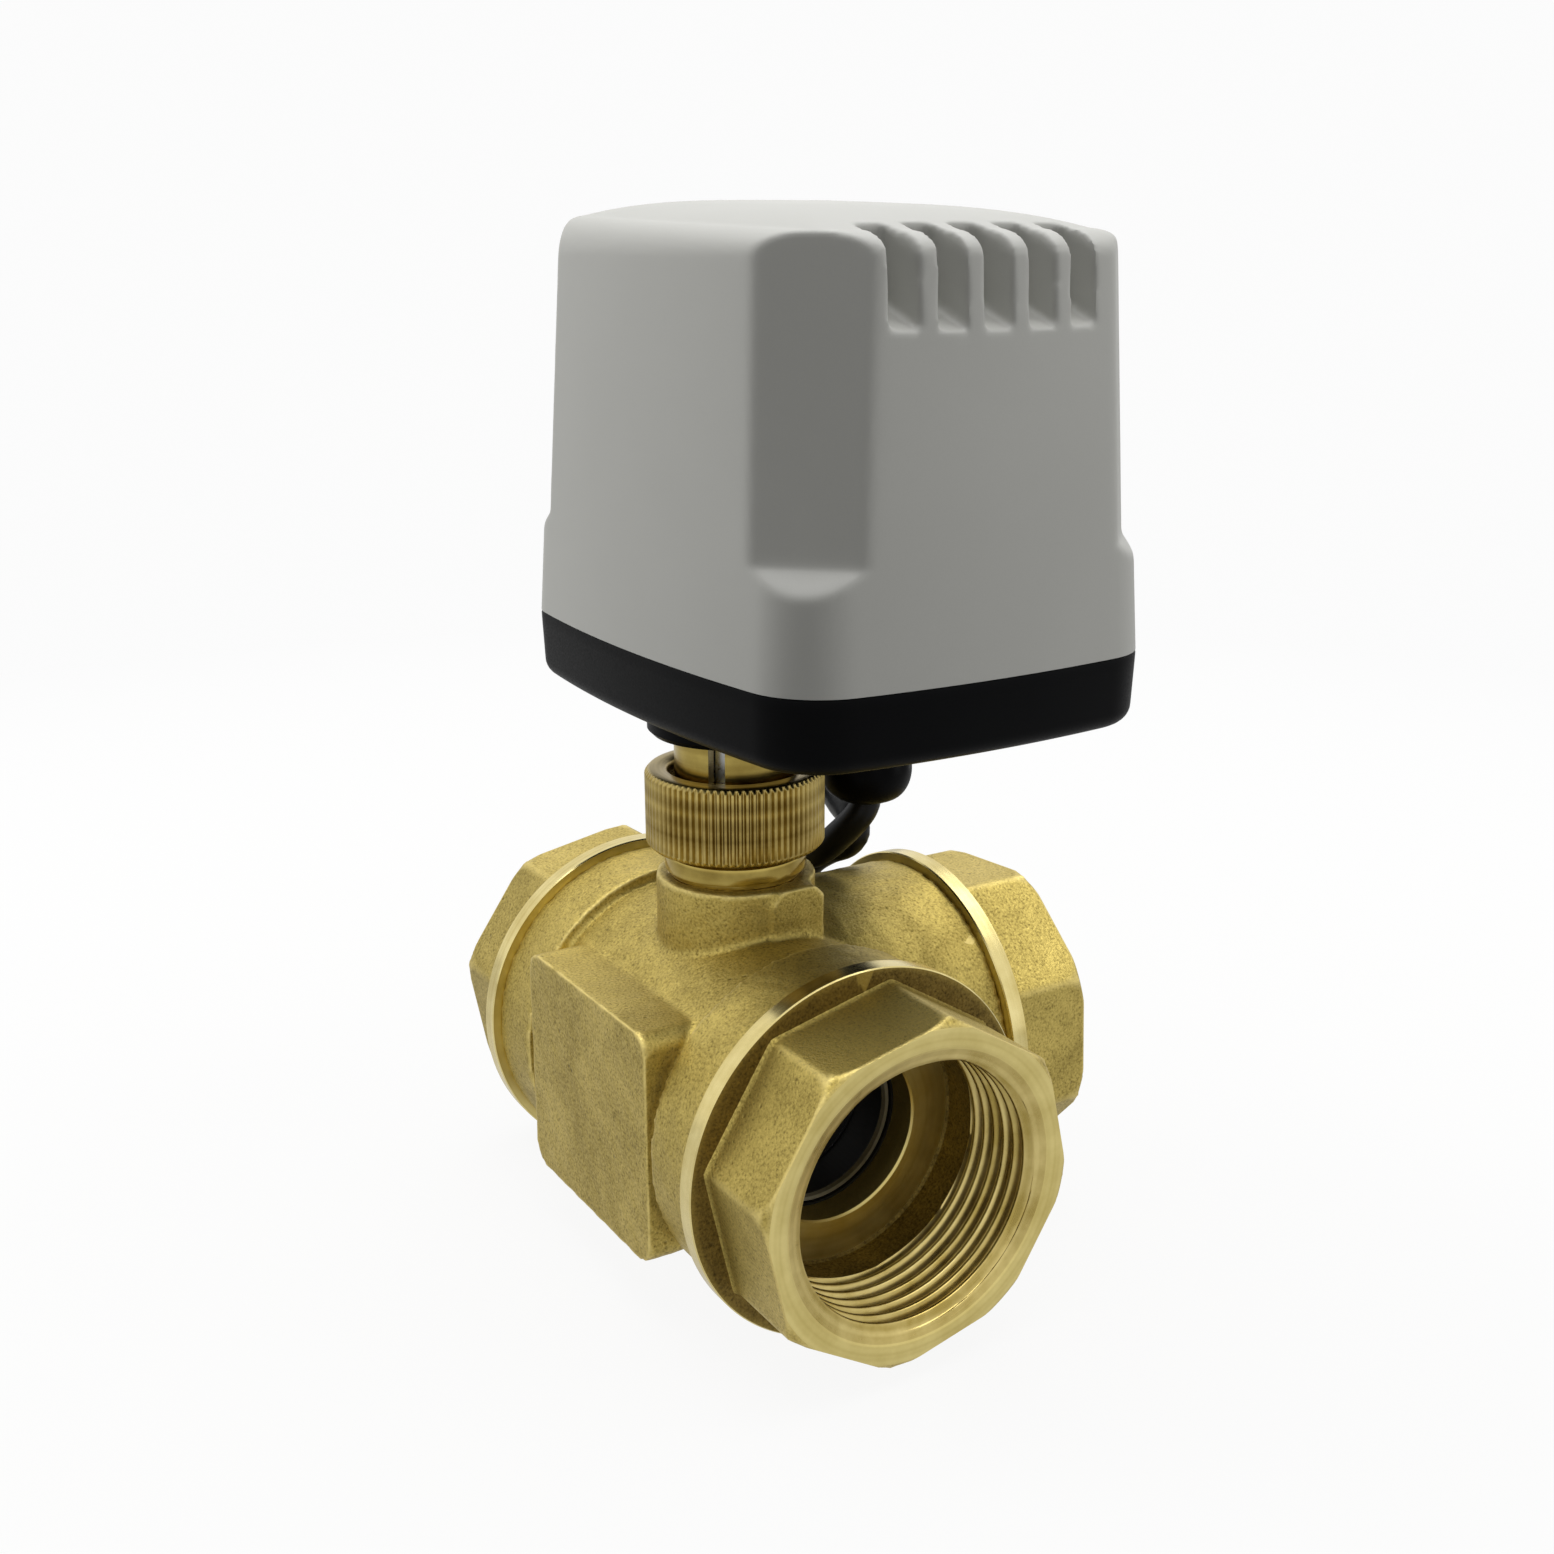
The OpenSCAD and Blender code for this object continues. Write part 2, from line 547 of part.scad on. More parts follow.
module plate_outline() chamfered(plate_box, plate_corner);
module chamfered(box, c) let(x0 = box[0].x, y0 = box[0].y, x1 = box[1].x, y1 = box[1].y)
    polygon([[x0 + c, y0], [x1 - c, y0], [x1, y0 + c], [x1, y1 - c], [x1 - c, y1], [x0 + c, y1], [x0, y1 - c], [x0, y0 + c]]);
module lower_plate() color("silver") translate([0, 0, lower_plate_z]) difference() {
    linear_extrude(plate_thickness) plate_outline();
    translate([0, 0, -1]) cylinder(r = bush_radius, h = 5);
    translate([idler_at.x, idler_at.y, -1]) cylinder(r = 2, h = 5);
    translate([gland_at.x, gland_at.y, -1]) cylinder(r = 9.5, h = 5);
    for (p = pillar_spots) translate([p.x, p.y, -1]) cylinder(r = pillar_screw, h = 5);
    for (p = screw_spots) translate([p.x, p.y, -1]) cylinder(r = screw_boss + clear, h = 5);
}
module upper_plate() color("silver") translate([0, 0, upper_plate_z]) difference() {
    linear_extrude(plate_thickness) plate_outline();
    translate([0, 0, -1]) cylinder(r = bush_radius, h = 5);
    translate([idler_at.x, idler_at.y, -1]) cylinder(r = 2, h = 5);
    translate([motor_shaft.x, motor_shaft.y, -1]) cylinder(r = 4, h = 5);
    translate([lead_hole.x, lead_hole.y, -1]) cylinder(r = cable_radius + 1.4, h = 5);
    for (p = pillar_spots) translate([p.x, p.y, -1]) cylinder(r = pillar_screw, h = 5);
    for (p = screw_spots) translate([p.x, p.y, -1]) cylinder(r = screw_boss + clear, h = 5);
}
module plate_pillars() color("goldenrod") for (p = pillar_spots) translate([p.x, p.y, 0]) {
    translate([0, 0, base_floor]) cylinder(r = pillar_radius + 0.5, h = lower_plate_z - base_floor);
    translate([0, 0, lower_plate_z + plate_thickness]) cylinder(r = pillar_radius, h = upper_plate_z - lower_plate_z - plate_thickness);
    translate([0, 0, base_floor]) cylinder(r = pillar_screw, h = upper_plate_z + plate_thickness - slip - base_floor);
}
module output_bush() color("goldenrod") for (z = [lower_plate_z, upper_plate_z]) difference() {
    translate([0, 0, z]) cylinder(r = bush_radius, h = plate_thickness + 0.6);
    cylinder(r = output_shaft_radius + fit, h = 120);
}

module motor() color("slategray") difference() {
    z = upper_plate_z + plate_thickness;
    union() {
        translate([motor_centre.x, motor_centre.y, z]) cylinder(r = motor_radius, h = motor_height);
        translate([motor_centre.x, motor_centre.y, z + motor_height - eps]) cylinder(r = 6, h = 1.5);
        for (a = motor_ears) translate([motor_centre.x, motor_centre.y, z]) rotate([0, 0, a]) {
            translate([0, -3.5, 0]) cube([motor_radius + 3.2, 7, 1.2]);
            translate([motor_radius + 3.2, 0, 0]) cylinder(r = 3.5, h = 1.2);
        }
    }
    translate([motor_shaft.x, motor_shaft.y, z - 1]) cylinder(r = 2.5 + fit, h = 6);
}
module motor_screws() color("gainsboro") for (a = motor_ears)
    translate([motor_centre.x, motor_centre.y, upper_plate_z + plate_thickness + 1.2]) rotate([0, 0, a])
        translate([motor_radius + 3.2, 0, 0]) difference() {
            cylinder(r = 2.4, h = 1.6);
            translate([-2, -0.3, 1]) cube([4, 0.6, 1]);
        }

module limit_cam() color("ivory") translate([0, 0, cam_z]) difference() {
    union() {
        cylinder(r = cam_radius, h = cam_height);
        linear_extrude(cam_height) polygon(concat([[0, 0]], [for (a = [150 : 10 : 210]) cam_lobe * [cos(a), sin(a)]]));
    }
    translate([0, 0, -1]) cylinder(r = output_shaft_radius, h = 10);
}
module limit_switches() color("darkslategray") {
    z = upper_plate_z + plate_thickness;
    translate([rear_switch.x, rear_switch.y, z]) cube(rear_switch_size);
    translate([near_switch.x, near_switch.y, z]) cube(near_switch_size);
}
module switch_levers() color("silver") {
    z = cam_z + 0.4;
    translate([-8.4, -5, z]) cube([0.4, 15, 3]);
    translate([-8.8, 8.8, z]) cube([0.8, 1.2, 3]);
    translate([-13.4, -10.2, z]) cube([15, 0.4, 3]);
    translate([-13.4, -10.6, z]) cube([1.2, 0.8, 3]);
}
module board_posts() color("ivory") for (p = post_spots) translate([p.x, p.y, upper_plate_z + plate_thickness])
    cylinder(r = post_radius, h = board_z - upper_plate_z - plate_thickness);
module circuit_board() color("seagreen") translate([0, 0, board_z]) difference() {
    linear_extrude(board_thickness) chamfered(board_box, board_corner);
    translate([lead_hole.x - 4, board_slot, -1]) cube([8, 10, 5]);
}
board_top = board_z + board_thickness;
module terminal_block() color("forestgreen") translate([terminal_at.x, terminal_at.y, board_top]) difference() {
    cube(terminal_size);
    for (i = [0 : 2]) translate([4.5, 3 + 6 * i, 5]) cylinder(r = 1.7, h = 5);
    for (i = [0 : 2]) translate([4.5, 3 + 6 * i, 3]) rotate([0, 90, 0]) cylinder(r = 1.3, h = 6);
}
module capacitor() color("steelblue") translate([capacitor_at.x, capacitor_at.y, board_top + capacitor_radius]) rotate([0, 90, 0]) {
    cylinder(r = capacitor_radius, h = capacitor_length);
    translate([0, 0, -0.6]) cylinder(r = capacitor_radius - 0.7, h = 1);
}
module relay() color("orangered") translate([relay_at.x, relay_at.y, board_top]) cube(relay_size);

// The case

// Closed skin through outlines of equal length; each ring is an inset, a height and its share of the tilt of the top
function tilt_at(p, share) = (is_undef(share) ? 0 : share) * crown_tilt * (p.x - case_mid_x + p.y - case_mid_y);
module skin(rings) {
    n = len(case_outline(0));
    last = len(rings) - 1;
    points = [for (r = rings) each [for (p = case_outline(r.x)) [p.x, p.y, r.y - tilt_at(p, r.z)]]];
    polyhedron(points, concat(
        [[for (i = [0 : n - 1]) i]],
        [for (k = [0 : last - 1], i = [0 : n - 1]) let(j = (i + 1) % n) each [
            [k * n + i, (k + 1) * n + i, (k + 1) * n + j], [k * n + i, (k + 1) * n + j, k * n + j]]],
        [[for (i = [n - 1 : -1 : 0]) last * n + i]]));
}
function draft_at(z) = (z - base_top) * tan(cover_draft);
function cover_rings(wall) =
    let(r = edge_radius - wall, top = edge_top - wall, d = draft_at(edge_start), inner = d + edge_radius)
    concat([[wall, base_top - (wall > 0 ? 1 : 0)], [wall + d, edge_start]],
        [for (a = [15 : 15 : 90]) [wall + d + r * (1 - cos(a)), edge_start + r * sin(a), sin(a)]],
        [for (s = [0.33, 0.66, 1]) [inner + 14 * s, top + crown_rise * (1 - (1 - s) * (1 - s)), 1]]);
function outline_reach(inset, dir) = max([for (p = case_outline(inset)) p * dir]);

// The corner recesses: a leaning flat above a sloping ledge
corners = [[[1, -1], near_recess, near_lean], [[-1, -1], rear_recess, far_lean],
    [[1, 1], far_recess, far_lean], [[-1, 1], far_recess, far_lean]];
module corner_cut(corner, wall) {
    dir = corner[0] / sqrt(2);
    square_corner = (corner[0].x > 0 ? case_front : case_rear) + (corner[0].y > 0 ? case_far : case_near);
    flat = (square_corner - corner[1]) / sqrt(2) - wall;
    out = outline_reach(draft_at(ledge_tip), dir);
    top = 200;
    rotate([0, 0, atan2(dir.y, dir.x)]) rotate([90, 0, 0]) translate([0, 0, -20]) linear_extrude(40)
        polygon([[flat - (ledge_top - base_top) * corner[2], ledge_top - wall], [out, ledge_tip - wall], [out + 30, ledge_tip - 30],
            [out + 30, top], [flat - (top - base_top) * corner[2], top]]);
}
module groove(y) translate([0, y, 0]) rotate([90, 0, 0]) translate([0, 0, -groove_width / 2]) linear_extrude(groove_width)
    polygon([[groove_floor, groove_bottom + 3], [case_front + 1, groove_bottom - 2.2], [case_front + 20, groove_bottom - 2.2],
        [case_front + 20, 200], [groove_floor, 200]]);
groove_floor = case_front - draft_at(groove_bottom) - groove_depth;
function groove_y(i) = groove_middle + (i - (groove_count - 1) / 2) * groove_pitch;

module cover() color("lightgray") {
    difference() {
        skin(cover_rings(0));
        difference() {
            skin(cover_rings(cover_wall));
            for (c = corners) corner_cut(c, cover_wall);
            translate([groove_floor - cover_wall, groove_y(0) - groove_width, groove_bottom - cover_wall - 1])
                cube([40, groove_y(groove_count - 1) - groove_y(0) + 2 * groove_width, 60]);
            for (p = screw_spots) translate([p.x, p.y, base_top]) cylinder(r = screw_boss, h = boss_rise);
        }
        for (c = corners) corner_cut(c, 0);
        for (i = [0 : groove_count - 1]) groove(groove_y(i));
        for (p = screw_spots) translate([p.x, p.y, 0]) cylinder(r = screw_radius, h = base_top + boss_rise - 2);
    }
}
module base_housing() color("dimgray") difference() {
    union() {
        difference() {
            skin([[2, floor_bottom], [0.3, base_bottom], [0, base_top]]);
            difference() {
                skin([[base_wall + 0.5, base_floor], [base_wall, base_top + 1]]);
                for (p = screw_spots) translate([p.x, p.y, base_floor]) cylinder(r = screw_boss, h = 20);
            }
        }
        translate([0, 0, boss_bottom]) cylinder(r = boss_radius, h = base_floor - boss_bottom);
    }
    translate([0, 0, boss_bottom - 1]) cylinder(r = sleeve_radius, h = 30);
    translate([gland_at.x, gland_at.y, floor_bottom - 1]) cylinder(r = gland_thread, h = 8);
    for (p = screw_spots) translate([p.x, p.y, floor_bottom - 1]) {
        cylinder(r = screw_radius, h = 30);
        cylinder(r = screw_head + slip, h = screw_seat - floor_bottom + 1);
    }
    translate([0, 0, base_top - gasket_height]) difference() {
        skin([[gasket_inset, 0], [gasket_inset, gasket_height + 1]]);
        skin([[gasket_inset + gasket_width, -1], [gasket_inset + gasket_width, gasket_height + 2]]);
    }
}
module case_gasket() color("black") translate([0, 0, base_top - gasket_height]) difference() {
    skin([[gasket_inset, 0], [gasket_inset, gasket_height]]);
    skin([[gasket_inset + gasket_width, -1], [gasket_inset + gasket_width, gasket_height + 1]]);
}
module case_screws() color("silver") for (p = screw_spots) translate([p.x, p.y, 0]) difference() {
    union() {
        translate([0, 0, screw_seat - 2]) cylinder(r = screw_head, h = 2);
        translate([0, 0, screw_seat - eps]) cylinder(r = screw_radius, h = base_top + boss_rise - 3 - screw_seat);
    }
    translate([-2, -0.4, screw_seat - 3]) cube([4, 0.8, 1.9]);
    translate([-0.4, -2, screw_seat - 3]) cube([0.8, 4, 1.9]);
}

// The cable gland
module at_gland(z) translate([gland_at.x, gland_at.y, z]) children();
module gland_body() color("black") difference() {
    union() {
        at_gland(floor_bottom - 2) cylinder(r = gland_flange, h = 2);
        at_gland(gland_nut_top) cylinder(r = 7.6, h = floor_bottom - 1.9 - gland_nut_top, $fn = 6);
        at_gland(floor_bottom - eps) cylinder(r = gland_thread, h = base_floor + 4.5 - floor_bottom);
        at_gland(gland_nut_top - 6) cylinder(r = gland_neck, h = 6 + eps);
    }
    at_gland(30) cylinder(r = cable_radius + slip, h = 60);
}
module gland_locknut() color("black") at_gland(base_floor) difference() {
    cylinder(r = 8.6, h = 3.2, $fn = 6);
    translate([0, 0, -1]) cylinder(r = gland_thread, h = 6);
}
module gland_nut() color("black") difference() {
    rotate_at = gland_nut_top - gland_exit;
    at_gland(gland_exit) union() {
        cylinder(r1 = 4.4, r2 = 6.4, h = 2.2);
        translate([0, 0, 2.2 - eps]) cylinder(r1 = 6.4, r2 = gland_nut_radius, h = 2);
        translate([0, 0, 4.2 - eps]) cylinder(r = gland_nut_radius, h = rotate_at - 4.5);
    }
    at_gland(gland_exit + 2.4) cylinder(r = gland_neck + fit, h = 30);
    at_gland(30) cylinder(r = cable_radius + clear, h = 60);
}
module gland_seal() color("dimgray") difference() {
    at_gland(gland_exit + 2.6) cylinder(r = gland_neck - 0.6, h = gland_nut_top - 6.1 - gland_exit - 2.6);
    at_gland(30) cylinder(r = cable_radius, h = 60);
}

// The cable

// Tube along a path: each ring is square to the path there, turned on as little as possible
function unit(v) = v / norm(v);
function tangent(p, i) = unit(p[min(i + 1, len(p) - 1)] - p[max(i - 1, 0)]);
function square_to(v, t) = unit(v - (v * t) * t);
function frames(p, i, v) = let(u = square_to(v, tangent(p, i))) i == len(p) - 1 ? [u] : concat([u], frames(p, i + 1, u));
function spline(a, b, c, d, t) = 0.5 * (2 * b + (c - a) * t + (2 * a - 5 * b + 4 * c - d) * t * t + (3 * b - a - 3 * c + d) * t * t * t);
function smooth(p, steps) = let(n = len(p)) concat([for (i = [0 : n - 2], k = [0 : steps - 1])
    spline(p[max(i - 1, 0)], p[i], p[i + 1], p[min(i + 2, n - 1)], k / steps)], [p[n - 1]]);
module tube(path, r, sides, first = [0, 0, 0], last = [0, 0, 0]) {
    f = frames(path, 0, [0.3, 0.2, 1]);
    n = len(path);
    points = [for (i = [0 : n - 1]) let(end = i == 0 ? first : i == n - 1 ? last : [0, 0, 0],
        t = norm(end) > 0 ? end : tangent(path, i), u = square_to(f[i], t), w = cross(t, u))
        each [for (k = [0 : sides - 1]) let(a = k * 360 / sides) path[i] + r * (cos(a) * u + sin(a) * w)]];
    polyhedron(points, concat(
        [[for (k = [0 : sides - 1]) k]],
        [for (i = [0 : n - 2], k = [0 : sides - 1]) let(j = (k + 1) % sides, a = i * sides, b = a + sides) each
            [[a + k, b + k, b + j], [a + k, b + j, a + j]]],
        [[for (k = [sides - 1 : -1 : 0]) (n - 1) * sides + k]]));
}
coil_angle = 360 * coil_turns;
coil_entry = [-sin(coil_start), cos(coil_start), 0];
function coil_at(a) = let(r = coil_outer - coil_pitch * a / 360)
    [coil_centre.x + r * cos(coil_start + a), coil_centre.y + r * sin(coil_start + a), cable_rest];
coil_path = [for (i = [0 : loop_rings * coil_turns]) coil_at(i * coil_angle / (loop_rings * coil_turns))];
coil_gap = min([for (i = [0 : 3 : len(coil_path) - 1], j = [i + 12 : len(coil_path) - 1]) norm(coil_path[i] - coil_path[j])]) - cable_diameter;
echo(least_gap_of_coil_to_itself = coil_gap);
coil_end = coil_path[len(coil_path) - 1];
coil_exit = unit(coil_end - coil_path[len(coil_path) - 2]);

module inner_lead() color("dimgray") {
    tube(smooth(lead_route, 2), cable_radius, 8);
    for (i = [0 : 2]) tube(smooth([lead_top + [i * 1.6 - 1.6, 0, -1], lead_top + [i * 1.6 - 1.6, 0, 3], lead_top + [i * 1.6 - 1.6, -0.6, 7.4], [-9.4 + i * 0.6, 19 - 5.5 * i, board_top + 4],
        [-11, 18 - 6 * i, board_top + 3], [-15.5, 18 - 6 * i, board_top + 3]], 2), 0.7, 6);
}
module power_cable() color("black") tube(smooth(route, 3), cable_radius, cable_sides, first = [0, 0, -1], last = coil_entry);
module cable_coil() color("black") tube(coil_path, cable_radius, coil_sides, first = coil_entry);
module cable_tie() color("black") translate([coil_centre.x, coil_centre.y, 0]) rotate([0, 0, tie_angle])
    translate([coil_outer - coil_pitch * ((tie_angle - coil_start) / 360 + 1), 0, cable_rest]) rotate([90, 0, 0]) translate([0, 0, -1.2]) difference() {
        linear_extrude(2.4) rounded_square([coil_pitch * 2 + cable_diameter + 4, cable_diameter + 2.2], 2.6);
        translate([0, 0, -1]) linear_extrude(5) rounded_square([coil_pitch * 2 + cable_diameter + 2.6, cable_diameter + 0.8], 1.9);
    }
// The three cores bend on inwards from the end of the sheath and sink to the floor
function core_at(i, s) = let(bend = core_bend - 2.5 * i, a = s / bend * 180 / PI, inward = [-coil_exit.y, coil_exit.x, 0],
        drop = (cable_radius - core_radius) * min(1, s / 14))
    coil_end + 0.3 * coil_exit + inward * 1.7 * i + bend * sin(a) * coil_exit + bend * (1 - cos(a)) * inward - [0, 0, drop];
module wire_ends() for (i = [-1, 0, 1]) {
    color(["saddlebrown", "yellowgreen", "royalblue"][i + 1])
        tube([for (s = [0 : 4 : core_length - 6]) core_at(i, s)], core_radius, 8);
    color("goldenrod") tube([for (s = [core_length - 6, core_length - 3, core_length]) core_at(i, s)], core_radius * 0.6, 8);
}

valve_body();
front_end_cap();
rear_end_cap();
branch_end_cap();
cap_seals();
ball_seats();
seat_rings();
ball();
stem();
stem_seals();
stem_packing();
packing_nut();
union_nut();
adapter_sleeve();
output_shaft();
base_housing();
case_gasket();
cover();
case_screws();
lower_plate();
upper_plate();
plate_pillars();
output_bush();
output_gear();
idler_gear();
idler_pin();
motor_pinion();
motor();
motor_screws();
limit_cam();
limit_switches();
switch_levers();
board_posts();
circuit_board();
terminal_block();
capacitor();
relay();
gland_body();
gland_locknut();
gland_seal();
gland_nut();
inner_lead();
power_cable();
cable_coil();
cable_tie();
wire_ends();
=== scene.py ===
# %% [markdown]
# A motorised three-way ball valve: a cast brass tee with octagonal end caps, a knurled
# union nut, and an electric actuator in a tall grey case with a black base.
# Every script that dresses a imported part starts by loading it as a fixed frame. Two small
# helpers come with it: one puts data into the scene, and one lays points round an upright axis.

import json

import bmesh
import bpy
import numpy as np
from mathutils import Matrix


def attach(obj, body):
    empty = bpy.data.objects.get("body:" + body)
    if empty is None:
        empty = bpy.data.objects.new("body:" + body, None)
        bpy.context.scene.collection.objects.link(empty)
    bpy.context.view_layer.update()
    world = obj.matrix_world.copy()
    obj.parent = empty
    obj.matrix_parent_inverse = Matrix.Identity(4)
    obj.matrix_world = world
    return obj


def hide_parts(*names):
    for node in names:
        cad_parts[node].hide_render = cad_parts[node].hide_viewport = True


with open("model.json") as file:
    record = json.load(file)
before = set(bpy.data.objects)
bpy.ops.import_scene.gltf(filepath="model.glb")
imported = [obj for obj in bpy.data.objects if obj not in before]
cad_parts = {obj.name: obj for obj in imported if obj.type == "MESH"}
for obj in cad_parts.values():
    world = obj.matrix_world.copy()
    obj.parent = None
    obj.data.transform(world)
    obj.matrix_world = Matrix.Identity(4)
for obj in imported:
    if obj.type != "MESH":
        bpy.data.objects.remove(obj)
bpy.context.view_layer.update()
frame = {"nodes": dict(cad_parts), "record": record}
nodes = frame["nodes"]
mm = 0.001


def in_scene(name, data):
    """New object in the scene that shows this mesh, curve, lamp or camera."""
    made = bpy.data.objects.new(name, data)
    bpy.context.collection.objects.link(made)
    return made


def round_points(centre, radius, angle, height):
    """Points (x + r cos a, y + r sin a, height) round an upright axis through the centre."""
    x, y = centre[0] + radius * np.cos(angle), centre[1] + radius * np.sin(angle)
    return np.stack([x, y, height + 0 * x], -1)


# %% [markdown]
# The camera comes first, because everything after it is compared with the photograph.
# Its place and turn were fitted to edges of the ports, the nut and the case. A turn could
# be typed as three angles; here it is built from the viewing direction, because a small
# roll is then one more rotation of two vectors.

# %% Camera
sensor_width = 36.0
photo_side = 1554
focal_pixels = 1757.62
camera_place = np.array([225.21, -130.41, 124.56]) * mm
view_azimuth, view_elevation, view_roll = np.radians([58.49, 16.37, -0.21])


def camera_axes(azimuth, elevation, roll):
    """Right, up and backward: right is level, up is square to it and to the sight line, then both roll."""
    level = np.cos(elevation)
    forward = -np.array([np.sin(azimuth) * level, -np.cos(azimuth) * level, np.sin(elevation)])
    right = np.array([np.cos(azimuth), np.sin(azimuth), 0])
    up = np.cross(right, forward)
    return (np.cos(roll) * right + np.sin(roll) * up, np.cos(roll) * up - np.sin(roll) * right, -forward)


camera_data = bpy.data.cameras.new("camera")
camera_data.sensor_width = sensor_width
camera_data.lens = focal_pixels / photo_side * sensor_width
camera_data.clip_start = 0.01
camera = in_scene("camera", camera_data)
camera_matrix = np.eye(4)
camera_matrix[:3, :3] = np.stack(camera_axes(view_azimuth, view_elevation, view_roll), axis=1)
camera_matrix[:3, 3] = camera_place
camera.matrix_world = Matrix(camera_matrix.tolist())
bpy.context.scene.camera = camera
bpy.context.scene.view_settings.view_transform = "Standard"
print("lens", round(camera_data.lens, 2), "mm at", camera_place.round(4))

# %% [markdown]
# Most pieces here are surfaces over a grid: one direction runs along a profile, the other
# round it. A list of faces could be typed for each piece, but on a grid the faces follow
# from the numbering alone, so one helper serves them all. Two rows or columns that meet
# are merged, which closes seams and poles, and then the faces are turned outwards.

# %% Surface helper
weld_gap = 1e-7


def surface(name, grid, close_rows=True, zone=None, sharp=35.0):
    """Mesh over grid[row, column]: four neighbours make a face, and the last column joins the first."""
    rows, columns = grid.shape[:2]
    row = np.arange(rows if close_rows else rows - 1)[:, None]
    column = np.arange(columns)[None, :]
    across, along = (column + 1) % columns, (row + 1) % rows
    here, there = row * columns, along * columns
    faces = np.stack([here + column, here + across, there + across, there + column], -1)
    mesh = bpy.data.meshes.new(name)
    mesh.from_pydata(grid.reshape(-1, 3).tolist(), [], faces.reshape(-1, 4).tolist())
    if zone is not None:
        kinds = np.repeat(np.asarray(zone)[: len(row)], columns).astype(np.int32)
        mesh.polygons.foreach_set("material_index", kinds)
    shape = bmesh.new()
    shape.from_mesh(mesh)
    bmesh.ops.remove_doubles(shape, verts=shape.verts, dist=weld_gap)
    bmesh.ops.recalc_face_normals(shape, faces=shape.faces)
    shape.to_mesh(mesh)
    shape.free()
    mesh.shade_smooth()
    mesh.set_sharp_from_angle(angle=np.radians(sharp))
    return in_scene(name, mesh)


def settled(piece):
    """The piece with its modifiers worked out into its mesh."""
    bpy.context.view_layer.update()
    worked = bpy.data.meshes.new_from_object(piece.evaluated_get(bpy.context.evaluated_depsgraph_get()))
    piece.modifiers.clear()
    piece.data = worked
    return piece


def modifier(piece, kind, **settings):
    """Adds one modifier with its settings."""
    added = piece.modifiers.new(kind.lower(), kind)
    for key, value in settings.items():
        setattr(added, key, value)
    return added


# %% [markdown]
# The cable leaves the gland, curls up behind the union nut, comes down behind the body and
# ends in a small coil on the floor, tied, with its three cores bared. A straight cylinder
# would look dead, so it is one open curve through the points of its route, given a round
# section. The route is that of the solids. Its turns behind the nut and under the gland are
# tighter than a real lead can take, which is a fault of the part that was left.

# %% Cable route
cable_radius = 2.5 * mm
cable_rest = (-28.7 + 2.5) * mm
free_route = np.array([
    [0.5, 24.2, 41], [0.45, 24.05, 40], [0.15, 23.5, 38.6], [-0.8, 22.6, 36.8], [-2.5, 21.5, 34.6],
    [-4.9, 20.3, 32], [-8.2, 19.4, 29.8], [-12.8, 18.9, 29.1], [-17.6, 18.8, 30], [-22.2, 19.8, 32.4],
    [-25.8, 22, 35.4], [-27.6, 25.2, 37.8], [-26.6, 28.6, 38.3], [-23.8, 30.6, 37.5], [-19.6, 31, 36],
    [-14.8, 29.9, 34.9], [-10.6, 28.9, 34.1], [-8.3, 28.2, 32], [-9.8, 27.4, 29.7], [-14.3, 26.9, 27.4],
    [-19, 26.7, 24.3], [-23, 27, 20.2], [-26.4, 27.9, 15.2], [-28.9, 29.1, 9.4], [-30.3, 30.5, 2.8],
    [-31.3, 31.7, -4.2], [-31.4, 33.1, -11.4], [-30.8, 36, -18.8], [-29.5, 40.4, -24.2],
    [-28.3, 45.2, -26.2]]) * mm
coil_centre, coil_outer, coil_pitch = np.array([-60, 57]) * mm, 33.5 * mm, 5.6 * mm
coil_turns, coil_start, rings_per_turn = 2.75, np.radians(-15), 24


def coil_route(turns):
    """Flat spiral: the radius shrinks by one pitch with each turn from the outer radius."""
    radius = coil_outer - coil_pitch * turns
    angle = coil_start + 2 * np.pi * turns
    return round_points(coil_centre, radius, angle, cable_rest)


coil = coil_route(np.linspace(0, coil_turns, int(rings_per_turn * coil_turns) + 1))
cable_points = np.concatenate([free_route, coil])


def round_cord(name, points, radius):
    """Open curve through the points: a handle lies a third of the way on, along its neighbours' line."""
    slope = np.gradient(points, axis=0)
    slope /= np.linalg.norm(slope, axis=1)[:, None]
    step = np.linalg.norm(np.diff(points, axis=0), axis=1)[:, None]
    before, after = np.concatenate([step[:1], step]), np.concatenate([step, step[-1:]])
    data = bpy.data.curves.new(name, "CURVE")
    data.dimensions, data.bevel_depth, data.bevel_resolution, data.use_fill_caps = "3D", 1.0, 5, True
    spline = data.splines.new("BEZIER")
    spline.bezier_points.add(len(points) - 1)
    for kind in ("handle_left_type", "handle_right_type"):
        for point in spline.bezier_points:
            setattr(point, kind, "FREE")
    spline.bezier_points.foreach_set("co", points.ravel())
    spline.bezier_points.foreach_set("radius", np.full(len(points), radius))
    spline.bezier_points.foreach_set("handle_left", (points - slope * before / 3).ravel())
    spline.bezier_points.foreach_set("handle_right", (points + slope * after / 3).ravel())
    spline.resolution_u = 4
    return in_scene(name, data)


cable = round_cord("mains_cable", cable_points, cable_radius)
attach(cable, "valve")
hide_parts("power_cable", "cable_coil")

# %% [markdown]
# The three cores of the bared end were drawn in the solids as one node. Here each core is
# its own piece, because each has its own colour and a bright copper tip.

